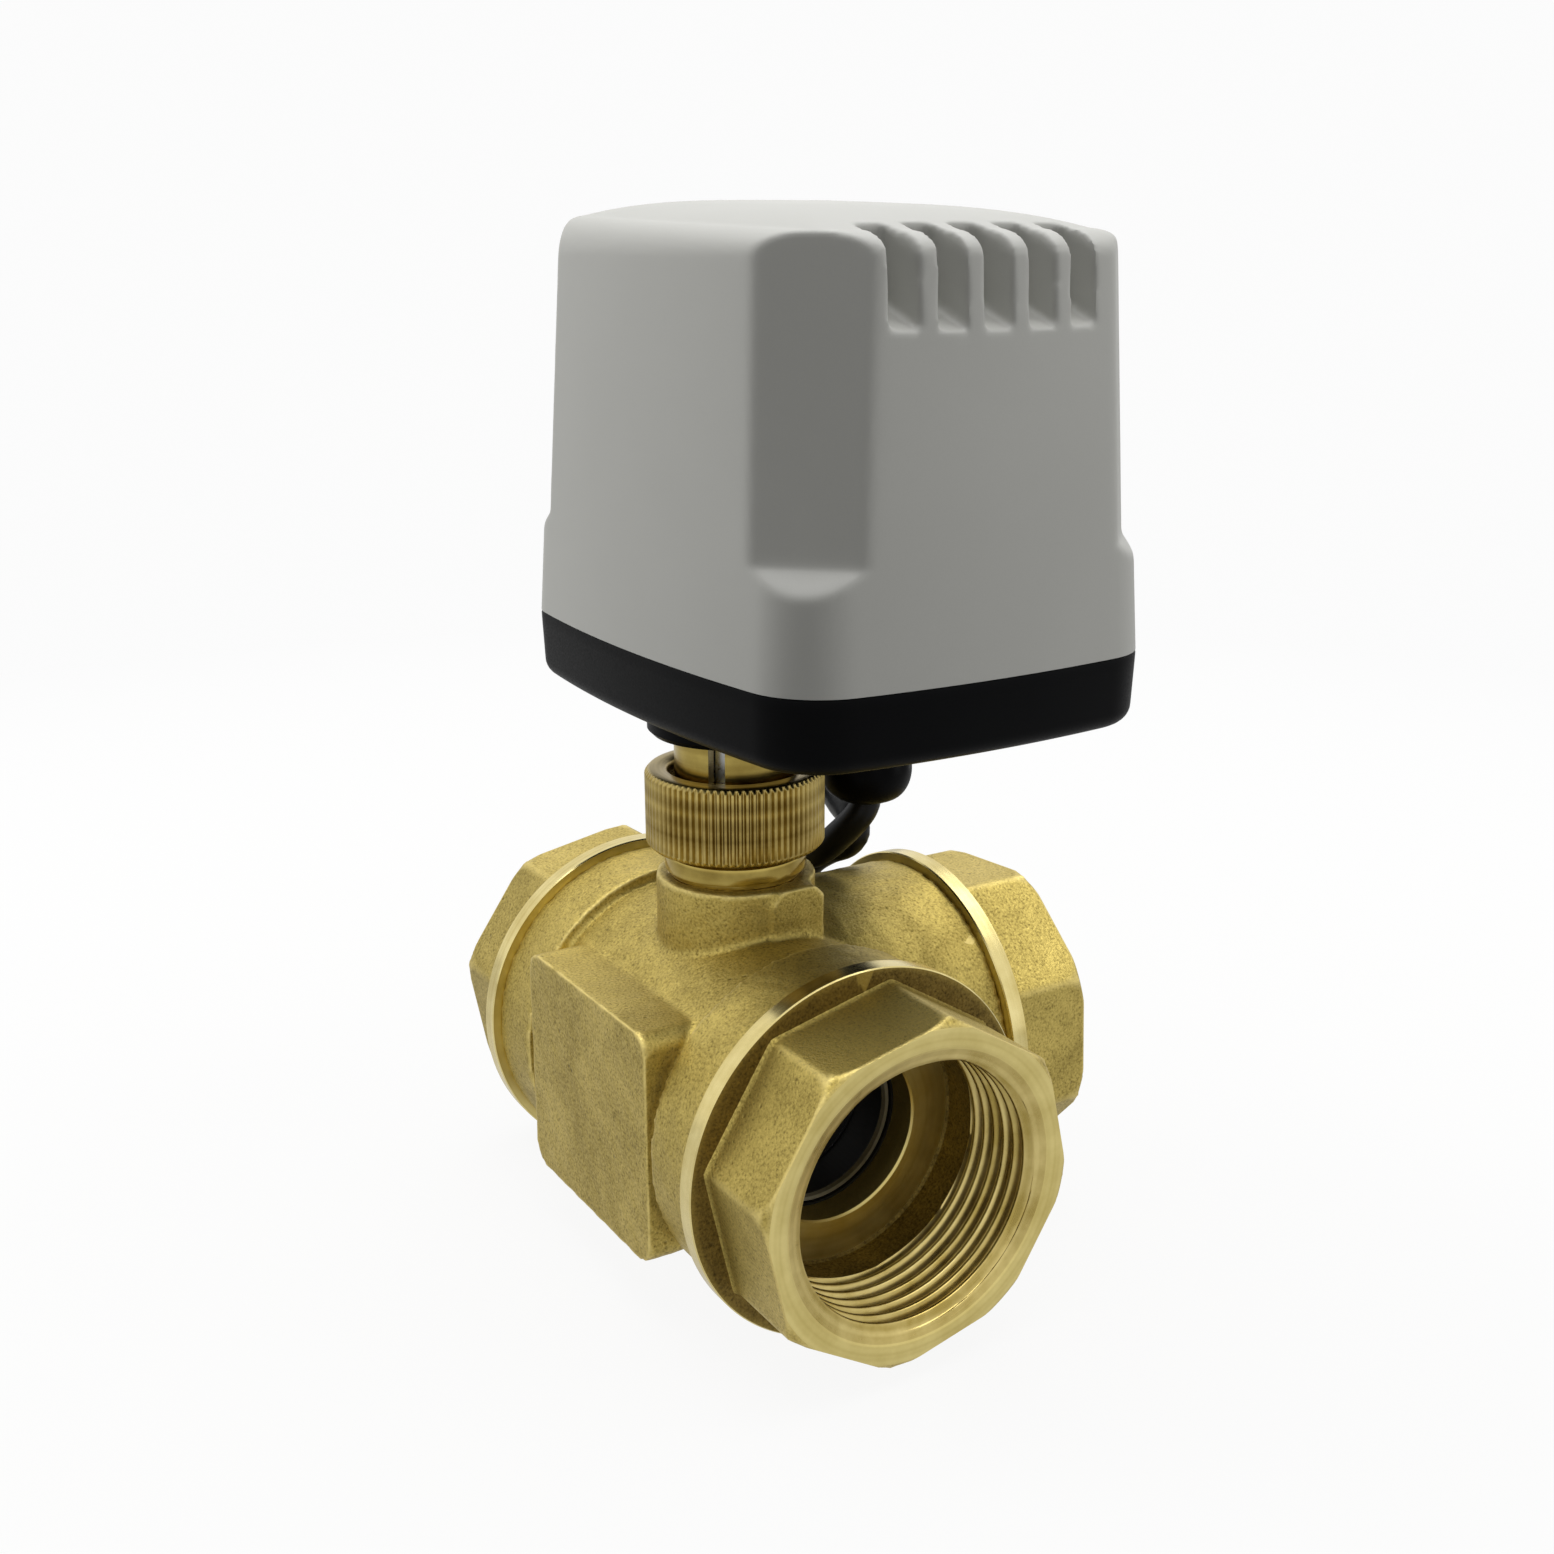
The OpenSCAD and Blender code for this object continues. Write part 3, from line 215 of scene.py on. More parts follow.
# %% Bared cores
core_radius, core_length, tip_length = 0.9 * mm, 30 * mm, 6 * mm
core_spread, sink_length = 1.7 * mm, 14 * mm
coil_end = coil[-1]
coil_exit = (coil[-1] - coil[-2]) / np.linalg.norm(coil[-1] - coil[-2])
inward = np.array([-coil_exit[1], coil_exit[0], 0])


def core_line(side, along):
    """Core that bends inwards on an arc and sinks to the floor over its first stretch."""
    bend = (12 - 2.5 * side) * mm
    turned = along / bend
    start = coil_end + 0.3 * mm * coil_exit + inward * core_spread * side
    line = start + np.outer(bend * np.sin(turned), coil_exit) + np.outer(bend * (1 - np.cos(turned)), inward)
    line[:, 2] -= (cable_radius - core_radius) * np.minimum(1, along / sink_length)
    return line


def tube(name, path, radius, sides=12):
    """Tube along a path: each ring stands square to it, and both ends close on the path itself."""
    slope = np.gradient(path, axis=0)
    slope /= np.linalg.norm(slope, axis=1)[:, None]
    first = np.cross(slope, [0.1, 0.2, 1])
    first /= np.linalg.norm(first, axis=1)[:, None]
    second = np.cross(slope, first)
    angle = np.linspace(0, 2 * np.pi, sides, endpoint=False)
    round_it = np.cos(angle)[:, None] * first[:, None] + np.sin(angle)[:, None] * second[:, None]
    rings = path[:, None] + radius * round_it
    ends = [np.repeat(path[i][None, None], sides, 1) for i in (0, -1)]
    return surface(name, np.concatenate([ends[0], rings, ends[1]]), close_rows=False, sharp=60)


cores = []
bare_from = core_length - tip_length
for side, colour_name in zip((-1, 0, 1), ("brown", "green_yellow", "blue")):
    sheathed = core_line(side, np.linspace(0, bare_from, 9))
    bared = core_line(side, np.linspace(bare_from, core_length, 5))
    cores.append(tube("core_" + colour_name, sheathed, core_radius))
    cores.append(tube("core_tip_" + colour_name, bared, 0.6 * core_radius))
for piece in cores:
    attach(piece, "valve")
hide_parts("wire_ends")
print("cores:", len(cores), "pieces")

# %% [markdown]
# Now the shapes that the camera sees best. The case is a moulded cover on a black base. Seen
# from above its outline is four flat arcs joined by corner arcs. Each arc is a circle, so a
# smaller outline inside it keeps the same centres and takes the inset off every radius.

# %% Case outline
case_rear, case_front, case_near, case_far = 32.8 * mm, 51.1 * mm, 22.7 * mm, 42.1 * mm
end_arc, near_arc, far_arc = 191 * mm, 264 * mm, 328 * mm
near_corner, far_corner = 11 * mm, 10.5 * mm
case_middle = np.array([(case_front - case_rear) / 2, 9.7 * mm])


def meeting_point(a, ra, b, rb, side):
    """Where two circles cross, on the chosen side of the line between their centres."""
    gap = np.linalg.norm(b - a)
    towards = (b - a) / gap
    along = (ra * ra - rb * rb + gap * gap) / (2 * gap)
    off = np.sqrt(max(0.0, ra * ra - along * along))
    return a + along * towards + side * off * np.array([-towards[1], towards[0]])


def outline_reach(inset, angles):
    """Distance from the middle of the case to its outline at each angle, read from its sampled arcs."""
    e, n, f = end_arc - inset, near_arc - inset, far_arc - inset
    rn, rf = max(near_corner - inset, 1.5 * mm), max(far_corner - inset, 1.5 * mm)
    front = np.array([case_front - inset - e, case_middle[1]])
    rear = np.array([-case_rear + inset + e, case_middle[1]])
    near = np.array([case_middle[0], -case_near + inset + n])
    far = np.array([case_middle[0], case_far - inset - f])
    corners = [(meeting_point(front, e - rn, near, n - rn, -1), rn, near, front),
               (meeting_point(front, e - rf, far, f - rf, 1), rf, front, far),
               (meeting_point(rear, e - rf, far, f - rf, -1), rf, far, rear),
               (meeting_point(rear, e - rn, near, n - rn, 1), rn, rear, near)]
    points = []
    for k, (centre, radius, before, after) in enumerate(corners):
        a = np.arctan2(*(centre - before)[::-1])
        b = a + (np.arctan2(*(centre - after)[::-1]) - a + np.pi) % (2 * np.pi) - np.pi
        t = np.linspace(a, b, 40)
        points.append(centre + radius * np.stack([np.cos(t), np.sin(t)], -1))
        following = corners[(k + 1) % 4][0]
        big = (e, f, e, n)[k]
        c = np.arctan2(*(following - after)[::-1])
        t = np.linspace(b, b + (c - b + np.pi) % (2 * np.pi) - np.pi, 60)[1:-1]
        points.append(after + big * np.stack([np.cos(t), np.sin(t)], -1))
    points = np.concatenate(points) - case_middle
    theta = np.arctan2(points[:, 1], points[:, 0])
    order = np.argsort(theta)
    return np.interp(angles, theta[order], np.linalg.norm(points, axis=1)[order], period=2 * np.pi)


case_angles = np.linspace(-np.pi, np.pi, 420, endpoint=False)
case_reach = outline_reach(0, np.radians([0, 90, 180, -90])) / mm
print("case reaches", case_reach.round(1).tolist(), "mm from its middle")

# %% [markdown]
# The cover is thin grey ABS, about 2 mm thick, moulded with draft so that it leaves its tool.
# Its corners have a tall flat recess above a sloping ledge, for the screwdriver. A flat cut
# would leave hard edges, so each recess is a soft minimum: a point past the flat is moved
# back to it, and near the flat the two blend over the fillet's width.

# %% Cover skin
base_top, cover_top = 72.5 * mm, 132.5 * mm
crown_rise, crown_power, crown_tilt = 2.65 * mm, 3.4, np.array([0.048, -0.01])
edge_radius = 5 * mm
cover_slope = np.tan(np.radians(4.1))
cover_wall = 2.2 * mm
edge_top = cover_top - crown_rise
edge_start = edge_top - edge_radius
ledge_tip, ledge_top = base_top + 9.7 * mm, base_top + 15.5 * mm
recess_fillet = 0.8 * mm
foot = 1.2 * mm
# Each recess: the corner's side in X and Y, how deep its flat cuts the corner, and how it leans
corner_recesses = [((1, -1), 13.4 * mm, 0.095), ((-1, -1), 13.1 * mm, 0.06),
                   ((1, 1), 11.6 * mm, 0.06), ((-1, 1), 11.6 * mm, 0.06)]


def soft_least(a, b, width):
    """The lesser of two values, rounded over a width where they are nearly equal."""
    share = np.clip(0.5 + 0.5 * (b - a) / width, 0, 1)
    return b * (1 - share) + a * share - width * share * (1 - share)


def cover_rows(wall, steps):
    """Insets, heights and tilt shares of the rings from the rim to the middle of the crown."""
    r = edge_radius - wall
    at_start = cover_slope * (edge_start - base_top)
    rise = np.linspace(-foot / (edge_start - base_top), 1, steps[0])
    bend = np.radians(np.linspace(0, 90, steps[1]))[1:]
    crown = np.linspace(0, 1, steps[2])[1:]
    turned_in = wall + at_start + r * (1 - np.cos(bend))
    inset = np.concatenate([wall + rise * at_start, turned_in, np.zeros(len(crown))])
    dome = edge_top - wall + crown_rise * (1 - (1 - crown) ** crown_power)
    height = np.concatenate([base_top + rise * (edge_start - base_top), edge_start + r * np.sin(bend), dome])
    share = np.concatenate([np.zeros(steps[0]), np.sin(bend), np.ones(len(crown))])
    shrink = np.concatenate([np.ones(steps[0] + len(bend)), 1 - crown])
    return inset, height, share, shrink


def case_ring(inset, shrink):
    """Outline at an inset, drawn in towards the middle of the case by a share."""
    reach = outline_reach(inset, case_angles) * shrink
    return case_middle + reach[:, None] * np.stack([np.cos(case_angles), np.sin(case_angles)], -1)


def cover_skin(wall, steps):
    """Rings of the cover by height, with the crown tilted and the four recesses pressed in."""
    inset, height, share, shrink = cover_rows(wall, steps)
    edge_inset = inset[steps[0] + steps[1] - 2]
    rings = np.stack([case_ring(i if s == 1 else edge_inset, s) for i, s in zip(inset, shrink)])
    fall = share[:, None] * ((rings - case_middle) @ crown_tilt)
    level = np.repeat(height[:, None], len(case_angles), 1) - fall
    for (sx, sy), depth, lean in corner_recesses:
        facing = np.array([sx, sy]) / np.sqrt(2)
        square_corner = (case_front if sx > 0 else case_rear) + (case_far if sy > 0 else case_near)
        flat = (square_corner - depth) / np.sqrt(2) - wall - lean * (level - base_top)
        past = rings @ facing
        outer = past[:1].max()
        on_ledge = np.clip((ledge_top - wall * 0.6 - level) / (ledge_top - ledge_tip) * 0.62, 0, 3)
        ledge = flat + (outer + 6 * mm - flat) * on_ledge
        limit = np.where(level < ledge_tip - 4 * mm, 1.0, ledge)
        moved = soft_least(past, np.maximum(limit, flat), recess_fillet)
        rings = rings + (moved - past)[..., None] * facing
    return np.concatenate([rings, level[..., None]], -1)


outer_skin = cover_skin(0, (110, 16, 40))
inner_skin = cover_skin(cover_wall, (40, 8, 16))
cover_grid = np.concatenate([inner_skin[::-1], outer_skin])
cover_piece = surface("moulded_cover", cover_grid, close_rows=False)
print("cover grid", cover_grid.shape, "top", round(float(cover_grid[..., 2].max()) * 1000, 1), "mm")

# %% [markdown]
# Five cooling slots cut the front top edge. Each is a narrow box with a sloping floor. They
# could be modelled as dents of the grid, but their walls are too steep for it, so they are
# cut with a boolean. Remeshing the result in cubes of 0.45 mm and smoothing it a little then
# rounds every edge as a mould does.

# %% Cooling slots
groove_width, groove_pitch, groove_count, groove_middle = 4.3 * mm, 7.05 * mm, 5, 11.06 * mm
groove_bottom = base_top + 44.2 * mm
groove_floor = case_front - cover_slope * (groove_bottom - base_top) - 9 * mm
groove_out, above_all = case_front + 20 * mm, 0.2
groove_low = groove_bottom - 2.2 * mm
groove_side = np.array([[groove_floor, groove_bottom + 3 * mm], [case_front + 1 * mm, groove_low],
                        [groove_out, groove_low], [groove_out, above_all], [groove_floor, above_all]])


def prism(name, side_view, middle, width):
    """Block with an outline in XZ and a width in Y: its rows are end centre, end, other end, centre."""
    ends = [np.insert(side_view, 1, middle + s * width / 2, axis=1) for s in (-1, 1)]
    centres = [np.repeat(e.mean(0)[None], len(side_view), 0) for e in ends]
    return surface(name, np.stack([centres[0], ends[0], ends[1], centres[1]]), close_rows=False)


def cut(piece, cutters):
    """Takes the cutters away from the piece and removes them."""
    for cutter in cutters:
        modifier(piece, "BOOLEAN", object=cutter, operation="DIFFERENCE", solver="MANIFOLD")
    settled(piece)
    for cutter in cutters:
        bpy.data.objects.remove(cutter)
    return piece


def rounded(piece, voxel, passes, most_faces=185000):
    """Remeshes a piece in small cubes and smooths it, so that its edges turn round."""
    modifier(piece, "REMESH", mode="VOXEL", voxel_size=voxel)
    modifier(piece, "SMOOTH", factor=0.5, iterations=passes)
    settled(piece)
    triangles = 2 * len(piece.data.polygons)
    if triangles > most_faces:
        modifier(piece, "DECIMATE", ratio=most_faces / triangles)
        settled(piece)
    piece.data.shade_smooth()
    return piece


def groove_place(i):
    """Middle of one slot in Y."""
    return groove_middle + (i - (groove_count - 1) / 2) * groove_pitch


# The backing keeps the wall closed behind the slots
backing_round, backing_x, backing_z = 4.1 * mm, 41.3 * mm, 123.6 * mm
backing_rear, backing_low = groove_floor - cover_wall, groove_bottom - 3.2 * mm
backing_turn = np.radians(np.linspace(0, 90, 7))
backing_edge = np.stack([backing_x + backing_round * np.cos(backing_turn),
                         backing_z + backing_round * np.sin(backing_turn)], -1)
inner_box = np.concatenate([[[backing_rear, backing_low], [45.6 * mm, backing_low]], backing_edge,
                            [[backing_rear, 127.7 * mm]]])
backing_width = groove_pitch * (groove_count - 1) + groove_width + 2.4 * mm
backing = prism("slot_backing", inner_box, groove_middle, backing_width)
modifier(cover_piece, "BOOLEAN", object=backing, operation="UNION", solver="MANIFOLD")
settled(cover_piece)
bpy.data.objects.remove(backing)
cut(cover_piece, [prism(f"slot_{i}", groove_side, groove_place(i), groove_width)
                  for i in range(groove_count)])
rounded(cover_piece, (0.45) * mm, 3)
below_rim = np.array([[-0.2, 0], [0.2, 0], [0.2, base_top], [-0.2, base_top]])
cut(cover_piece, [prism("below_rim", below_rim, 0, 0.4)])
cover_piece.data.shade_smooth()
cover_piece.data.set_sharp_from_angle(angle=np.radians(50))
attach(cover_piece, "valve")
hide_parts("cover")
print("cover faces", len(cover_piece.data.polygons))

# %% [markdown]
# The base is a shallow black tray under the cover. One closed loop of rings makes it: from
# the hole for the sleeve out over the boss, under the floor, round the soft lower edge, up
# the wall, over the rim and back in over the inner floor. Near the hole a ring is a circle
# about the stem, and further out it is the case outline, so each ring blends the two.

# %% Base tray
base_bottom, sleeve_radius, boss_radius = 63.6 * mm, 9.3 * mm, 13.3 * mm
floor_bottom, base_floor, boss_bottom = base_bottom - 1.5 * mm, base_bottom + 1.5 * mm, 55.8 * mm
screw_spots = np.array([[41.5, -11], [-25, -11.5], [42, 32], [-25.5, 32]]) * mm
gland_at = np.array([0.5, 24.2]) * mm


def base_ring(radius, share, inset, height):
    """Ring between a circle about the stem and the case outline, by a share from 0 to 1."""
    circle = radius * np.stack([np.cos(case_angles), np.sin(case_angles)], -1)
    flat = (1 - share) * circle + share * case_ring(inset, 1)
    return np.concatenate([flat, np.full((len(flat), 1), height)], -1)


edge = np.radians(np.linspace(0, 90, 9))
soft_edge = 2.6 * mm
base_rows = [base_ring(radius, 0, 0, height) for radius, height in (
    (sleeve_radius, boss_bottom), (boss_radius - 0.8 * mm, boss_bottom),
    (boss_radius, boss_bottom + 0.8 * mm), (boss_radius, floor_bottom - 0.6 * mm),
    (boss_radius + 0.6 * mm, floor_bottom))]
base_rows += [base_ring(boss_radius, s, 3.6 * mm, floor_bottom) for s in np.linspace(0.1, 1, 12)]
base_rows += [base_ring(0, 1, (0.3 + 2.6 * (1 - np.sin(a))) * mm, floor_bottom + soft_edge * (1 - np.cos(a)))
              for a in edge]
base_rows += [base_ring(0, 1, i * mm, base_top - d * mm)
              for i, d in ((0.05, 2), (0, 0.5), (0.15, 0.12), (0.5, 0), (2.3, 0), (2.5, 0.2))]
base_rows += [base_ring(0, 1, (2.5 + 0.5 * s) * mm, base_top + s * (base_floor - base_top)) for s in (0.5, 1)]
base_rows += [base_ring(sleeve_radius, s, 3 * mm, base_floor) for s in np.linspace(0.9, 0, 10)]
base_piece = surface("base_tray", np.stack(base_rows), sharp=40)


def post(name, place, radii, heights, sides=48):
    """Turned piece about an upright axis: one ring per radius and height, and a radius of 0 closes it."""
    angle = np.linspace(0, 2 * np.pi, sides, endpoint=False)
    radii, heights = np.asarray(radii, float)[:, None], np.asarray(heights, float)[:, None]
    return surface(name, round_points(place, radii, angle, heights), close_rows=False)


screw_seat = base_bottom + 0.6 * mm
screw_profile = np.array([0, 2.9, 2.9, 1.55, 1.55, 0]) * mm
screw_heights = [0.05, 0.05, screw_seat, screw_seat, 0.09, 0.09]
holes = [post(f"screw_hole_{k}", spot, screw_profile, screw_heights) for k, spot in enumerate(screw_spots)]
holes.append(post("gland_hole", gland_at, np.array([0, 6, 6, 0]) * mm, [0.055, 0.055, 0.075, 0.075]))
cut(base_piece, holes)
base_piece.data.shade_smooth()
base_piece.data.set_sharp_from_angle(angle=np.radians(40))
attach(base_piece, "valve")
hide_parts("base_housing")
print("base faces", len(base_piece.data.polygons))

# %% [markdown]
# The three end caps carry the most to look at: a turned flange, an octagon left rough from
# casting, a bright faced front and a G 1 1/4 thread of seven turns. One closed loop of rings
# makes a cap. A ring is round on the turned parts; on the octagon its radius follows the
# flat at each angle. In the thread the radius also waves with the angle plus the distance
# along the axis, which is what winds a helix.

# %% End cap shape
run_reach, branch_reach = 51 * mm, 52 * mm
flange_radius, flange_thickness, octagon_length, octagon_flats = 28.7 * mm, 3 * mm, 15 * mm, 49 * mm
cap_seat, nose_reach, relief_floor, throat_floor = 25.7 * mm, 18.8 * mm, 29 * mm, 24 * mm
port_radius, thread_pitch, thread_depth = 19.475 * mm, 2.309 * mm, 1.479 * mm
corner_fillet = 1.3 * mm
# The last zone is painted shade: a darker cast finish for the face behind the flange and for the relief and
# throat inside the bore.
cast_zone, turned_zone, polished_zone, bore_zone, painted_shade_zone = range(5)

def octagon_radius(angle, turn):
    """Distance to a regular octagon: half the flats over the cosine, or near a corner to its fillet."""
    half, slice_half = octagon_flats / 2, np.pi / 8
    off = np.abs((angle - turn + slice_half) % (2 * slice_half) - slice_half)
    fillet_off = np.arctan2((half - corner_fillet) * np.tan(slice_half), half)
    centre = (half - corner_fillet) / np.cos(slice_half)
    from_corner = slice_half - off
    reach_in = np.maximum(corner_fillet ** 2 - (centre * np.sin(from_corner)) ** 2, 0)
    rounded_part = centre * np.cos(from_corner) + np.sqrt(reach_in)
    return np.where(off < fillet_off, half / np.cos(off), rounded_part)


def thread_radius(along, angle):
    """Whitworth form: the radius rises from the crest by a rounded wave of the turns along the axis."""
    turns = along / thread_pitch + angle / (2 * np.pi)
    wave = (0.5 - 0.5 * np.cos(2 * np.pi * turns)) ** 1.4
    return port_radius + 0.9 * thread_depth * wave


def cap_grid(reach, turn, columns=224):
    """Rings of one cap along +X as (distance, radius at each angle), with the zone of each row."""
    joint = reach - octagon_length - flange_thickness
    angle = np.linspace(0, 2 * np.pi, columns, endpoint=False)
    flat = octagon_radius(angle, turn)
    rows, zone = [], []

    def ring(x, radius, kind):
        rows.append((x, np.broadcast_to(radius, angle.shape)))
        zone.append(kind)

    for x, r in ((nose_reach, 16.6), (nose_reach, 18.3), (cap_seat, 18.3), (cap_seat, 24), (joint, 24),
                 (joint, 27.9)):
        ring(x, r * mm, turned_zone)
    bevel, chamfer = 0.18 * mm, 1.1 * mm
    ring(joint, flange_radius - bevel, polished_zone)
    ring(joint + bevel, flange_radius, polished_zone)
    ring(joint + flange_thickness - bevel, flange_radius, polished_zone)
    # The face behind the flange takes the painted shade zone.
    ring(joint + flange_thickness, flange_radius - bevel, painted_shade_zone)
    for s, fillet in ((0, 0.4), (0.4, 0.1), (1, 0)):
        ring(joint + flange_thickness + s * 1.0 * mm, flat + fillet * mm, cast_zone)
    for s in np.linspace(0.15, 1, 10):
        ring(joint + flange_thickness + s * (octagon_length - chamfer), flat, cast_zone)
    face_edge = 26.3 * mm
    for s in (0.25, 0.5, 0.75, 1):
        radius = np.minimum(flat, face_edge - 0.95 * chamfer * s) - 0.12 * mm * (s == 1)
        ring(reach - chamfer * (1 - s), radius, turned_zone if s == 1 else cast_zone)
    ring(reach, np.minimum(flat, face_edge - chamfer) - 0.35 * mm, turned_zone)
    ring(reach, 22.3 * mm, turned_zone)
    ring(reach - 0.1 * mm, 22.15 * mm, turned_zone)
    thread_ends = reach - 0.2 * mm, reach - 16 * mm
    relief_radius = 20.6 * mm
    for x in np.linspace(*thread_ends, 124):
        mouth = 22.35 * mm - (reach - x) * 2.1
        end = relief_radius - (x - thread_ends[1]) * 1.6
        wave = thread_radius(x, angle)
        ring(x, np.maximum(np.maximum(wave, mouth), np.minimum(end, relief_radius)), bore_zone)
    # The relief and throat inside the bore take the painted shade zone, darker than the thread.
    for x, r, kind in ((thread_ends[1] - 0.15 * mm, 20.6, painted_shade_zone),
                       (relief_floor + 0.4 * mm, 20.6, painted_shade_zone),
                       (relief_floor, 20.2, turned_zone), (relief_floor, 14.1, turned_zone),
                       (relief_floor - 0.3 * mm, 13.8, painted_shade_zone), (throat_floor, 13.8, painted_shade_zone),
                       (throat_floor, 16.6, painted_shade_zone)):
        ring(x, r * mm, kind)
    along = np.array([x for x, _ in rows])[:, None] + 0 * angle
    radius = np.stack([r for _, r in rows])
    return np.stack([along, radius * np.cos(angle), radius * np.sin(angle)], -1), zone


caps = {}
to_branch = np.array([[0, -1, 0], [1, 0, 0], [0, 0, 1]])
for name, reach, turn, towards in (("front", run_reach, 12.9, np.diag([1, 1, 1])),
                                   ("rear", run_reach, 10.5, np.diag([-1, 1, 1])),
                                   ("branch", branch_reach, -3.3, to_branch)):
    grid, zone = cap_grid(reach, np.radians(turn))
    caps[name] = surface(name + "_cap", grid @ towards.T, zone=zone, sharp=40)
    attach(caps[name], "valve")
    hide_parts(name + "_end_cap")
print("cap faces", [len(c.data.polygons) for c in caps.values()])

# %% [markdown]
# The union nut is turned brass with straight knurling: about eighty ribs pressed along its
# side. A bump pattern would leave its outline smooth, so the ribs are in the mesh. The
# radius waves with the angle, flattened at the tops, and both ends run out in a chamfer.

# %% Union nut
nut_radius, nut_bottom, nut_height = 13.9 * mm, 37.9 * mm, 12.2 * mm
nut_ribs, rib_depth = 80, 0.5 * mm
nut_top = nut_bottom + nut_height
nut_angles = np.linspace(0, 2 * np.pi, nut_ribs * 12, endpoint=False)
rib_wave = np.clip(0.62 + 0.75 * np.cos(nut_ribs * nut_angles), 0, 1)


def nut_ring(height, limit):
    """Ring of the ribbed side, cut off at a limiting radius."""
    radius = np.minimum(nut_radius - rib_depth * (1 - rib_wave), limit)
    return round_points((0, 0), radius, nut_angles, height)


# Rows of height and limiting radius, the second in millimetres
nut_profile = [(nut_bottom, 11.65), (nut_bottom, 13.2), (nut_bottom + 0.25 * mm, 13.45),
               (nut_bottom + 0.6 * mm, 13.8), (nut_bottom + 0.8 * mm, 13.9)]
nut_profile += [(nut_bottom + s * nut_height, 13.9) for s in (0.3, 0.5, 0.7)]
nut_profile += [(nut_top - 0.8 * mm, 13.9), (nut_top - 0.6 * mm, 13.8), (nut_top - 0.2 * mm, 13.45),
                (nut_top - 0.05 * mm, 13.25), (nut_top, 13.1), (nut_top, 10.8), (nut_top - 0.4 * mm, 10.35),
                (nut_top - 1.9 * mm, 10.35), (nut_top - 1.9 * mm, 11.65)]
nut_piece = surface("knurled_nut", np.stack([nut_ring(z, r * mm) for z, r in nut_profile]), sharp=50)
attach(nut_piece, "union")
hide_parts("union_nut")
print("nut faces", len(nut_piece.data.polygons))

# %% [markdown]
# The gland's cap nut is a small moulded dome with shallow flutes for the fingers. It is
# turned like a vase: a profile of radius against height, and the flutes take a little off
# the radius where the wall stands upright.

# %% Gland nut
gland_angles = np.linspace(0, 2 * np.pi, 144, endpoint=False)
flutes = 0.5 - 0.5 * np.cos(12 * gland_angles)
dome = np.radians(np.linspace(8, 90, 12))
# Rows of height, radius and share of the flutes' depth, the first two in millimetres
gland_profile = [(41.0, 2.85, 0), (41.0, 3.9, 0)]
gland_profile += [(46.2 - 5.0 * np.cos(a), 3.9 + 3.5 * np.sin(a), 0) for a in dome]
gland_profile += [(46.8, 7.4, 0.4), (48.0, 7.4, 1), (54.4, 7.4, 1), (55.2, 7.4, 0.3), (55.7, 7.0, 0),
                  (55.7, 5.7, 0), (43.4, 5.7, 0), (43.4, 2.85, 0)]
flute_depth = 0.28


def gland_ring(height, radius, share):
    """Ring about the gland's axis, drawn in by the flutes."""
    fluted = (radius - flute_depth * share * flutes) * mm
    return round_points(gland_at, fluted, gland_angles, height * mm)


gland_rows = [gland_ring(*row) for row in gland_profile]
gland_piece = surface("gland_dome_nut", np.stack(gland_rows), sharp=50)
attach(gland_piece, "gland")
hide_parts("gland_nut")
print("gland nut faces", len(gland_piece.data.polygons))

# %% [markdown]
# The body is a sand casting, so nothing on it is sharp: barrels run into collars, neck and
# pad over soft fillets. Fillets between so many forms are hard to write down. Remeshing a
# merged copy of the solid in small cubes and smoothing it rounds them all, as casting does.

# %% Cast body
body_mesh = nodes["valve_body"].data.copy()
body_mesh.materials.clear()
body_piece = in_scene("cast_body", body_mesh)
body_shape = bmesh.new()
body_shape.from_mesh(body_mesh)
bmesh.ops.remove_doubles(body_shape, verts=body_shape.verts, dist=1e-6)
body_shape.to_mesh(body_mesh)
body_shape.free()
neck_top = 33.3 * mm
cut(body_piece, [post("above_neck", (0, 0), np.array([0, 20, 20, 0]) * mm, [neck_top, neck_top, 0.06, 0.06])])
rounded(body_piece, (0.5) * mm, 3)


def wobble(piece, height, length):
    """Moves each point along its normal by a slow wave: a product of sines of its place, plus a third."""
    count = len(piece.data.vertices)
    spot, normal = np.empty(count * 3), np.empty(count * 3)
    piece.data.vertices.foreach_get("co", spot)
    piece.data.vertices.foreach_get("normal", normal)
    spot, normal = spot.reshape(-1, 3), normal.reshape(-1, 3)
    x, y, z = (2 * np.pi * spot / length).T
    rise = np.sin(x + 1.3 * np.sin(y)) * np.sin(y + 0.7 + 1.1 * np.sin(z))
    rise = rise + 0.5 * np.sin(2.3 * z + 2 * np.sin(1.7 * x))
    piece.data.vertices.foreach_set("co", (spot + normal * (height * rise)[:, None]).ravel())
    piece.data.update()


wobble(body_piece, 0.05 * mm, 6.5 * mm)
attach(body_piece, "valve")
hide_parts("valve_body")
print("body faces", len(body_piece.data.polygons))

# %% [markdown]
# The neck ends in a spigot that a lathe has cut: a thread for the union nut above, and below
# it two grooves that show as a bright band under the nut. Smoothing the casting would blur
# them, so the spigot is its own turned piece, let half a millimetre into the neck.

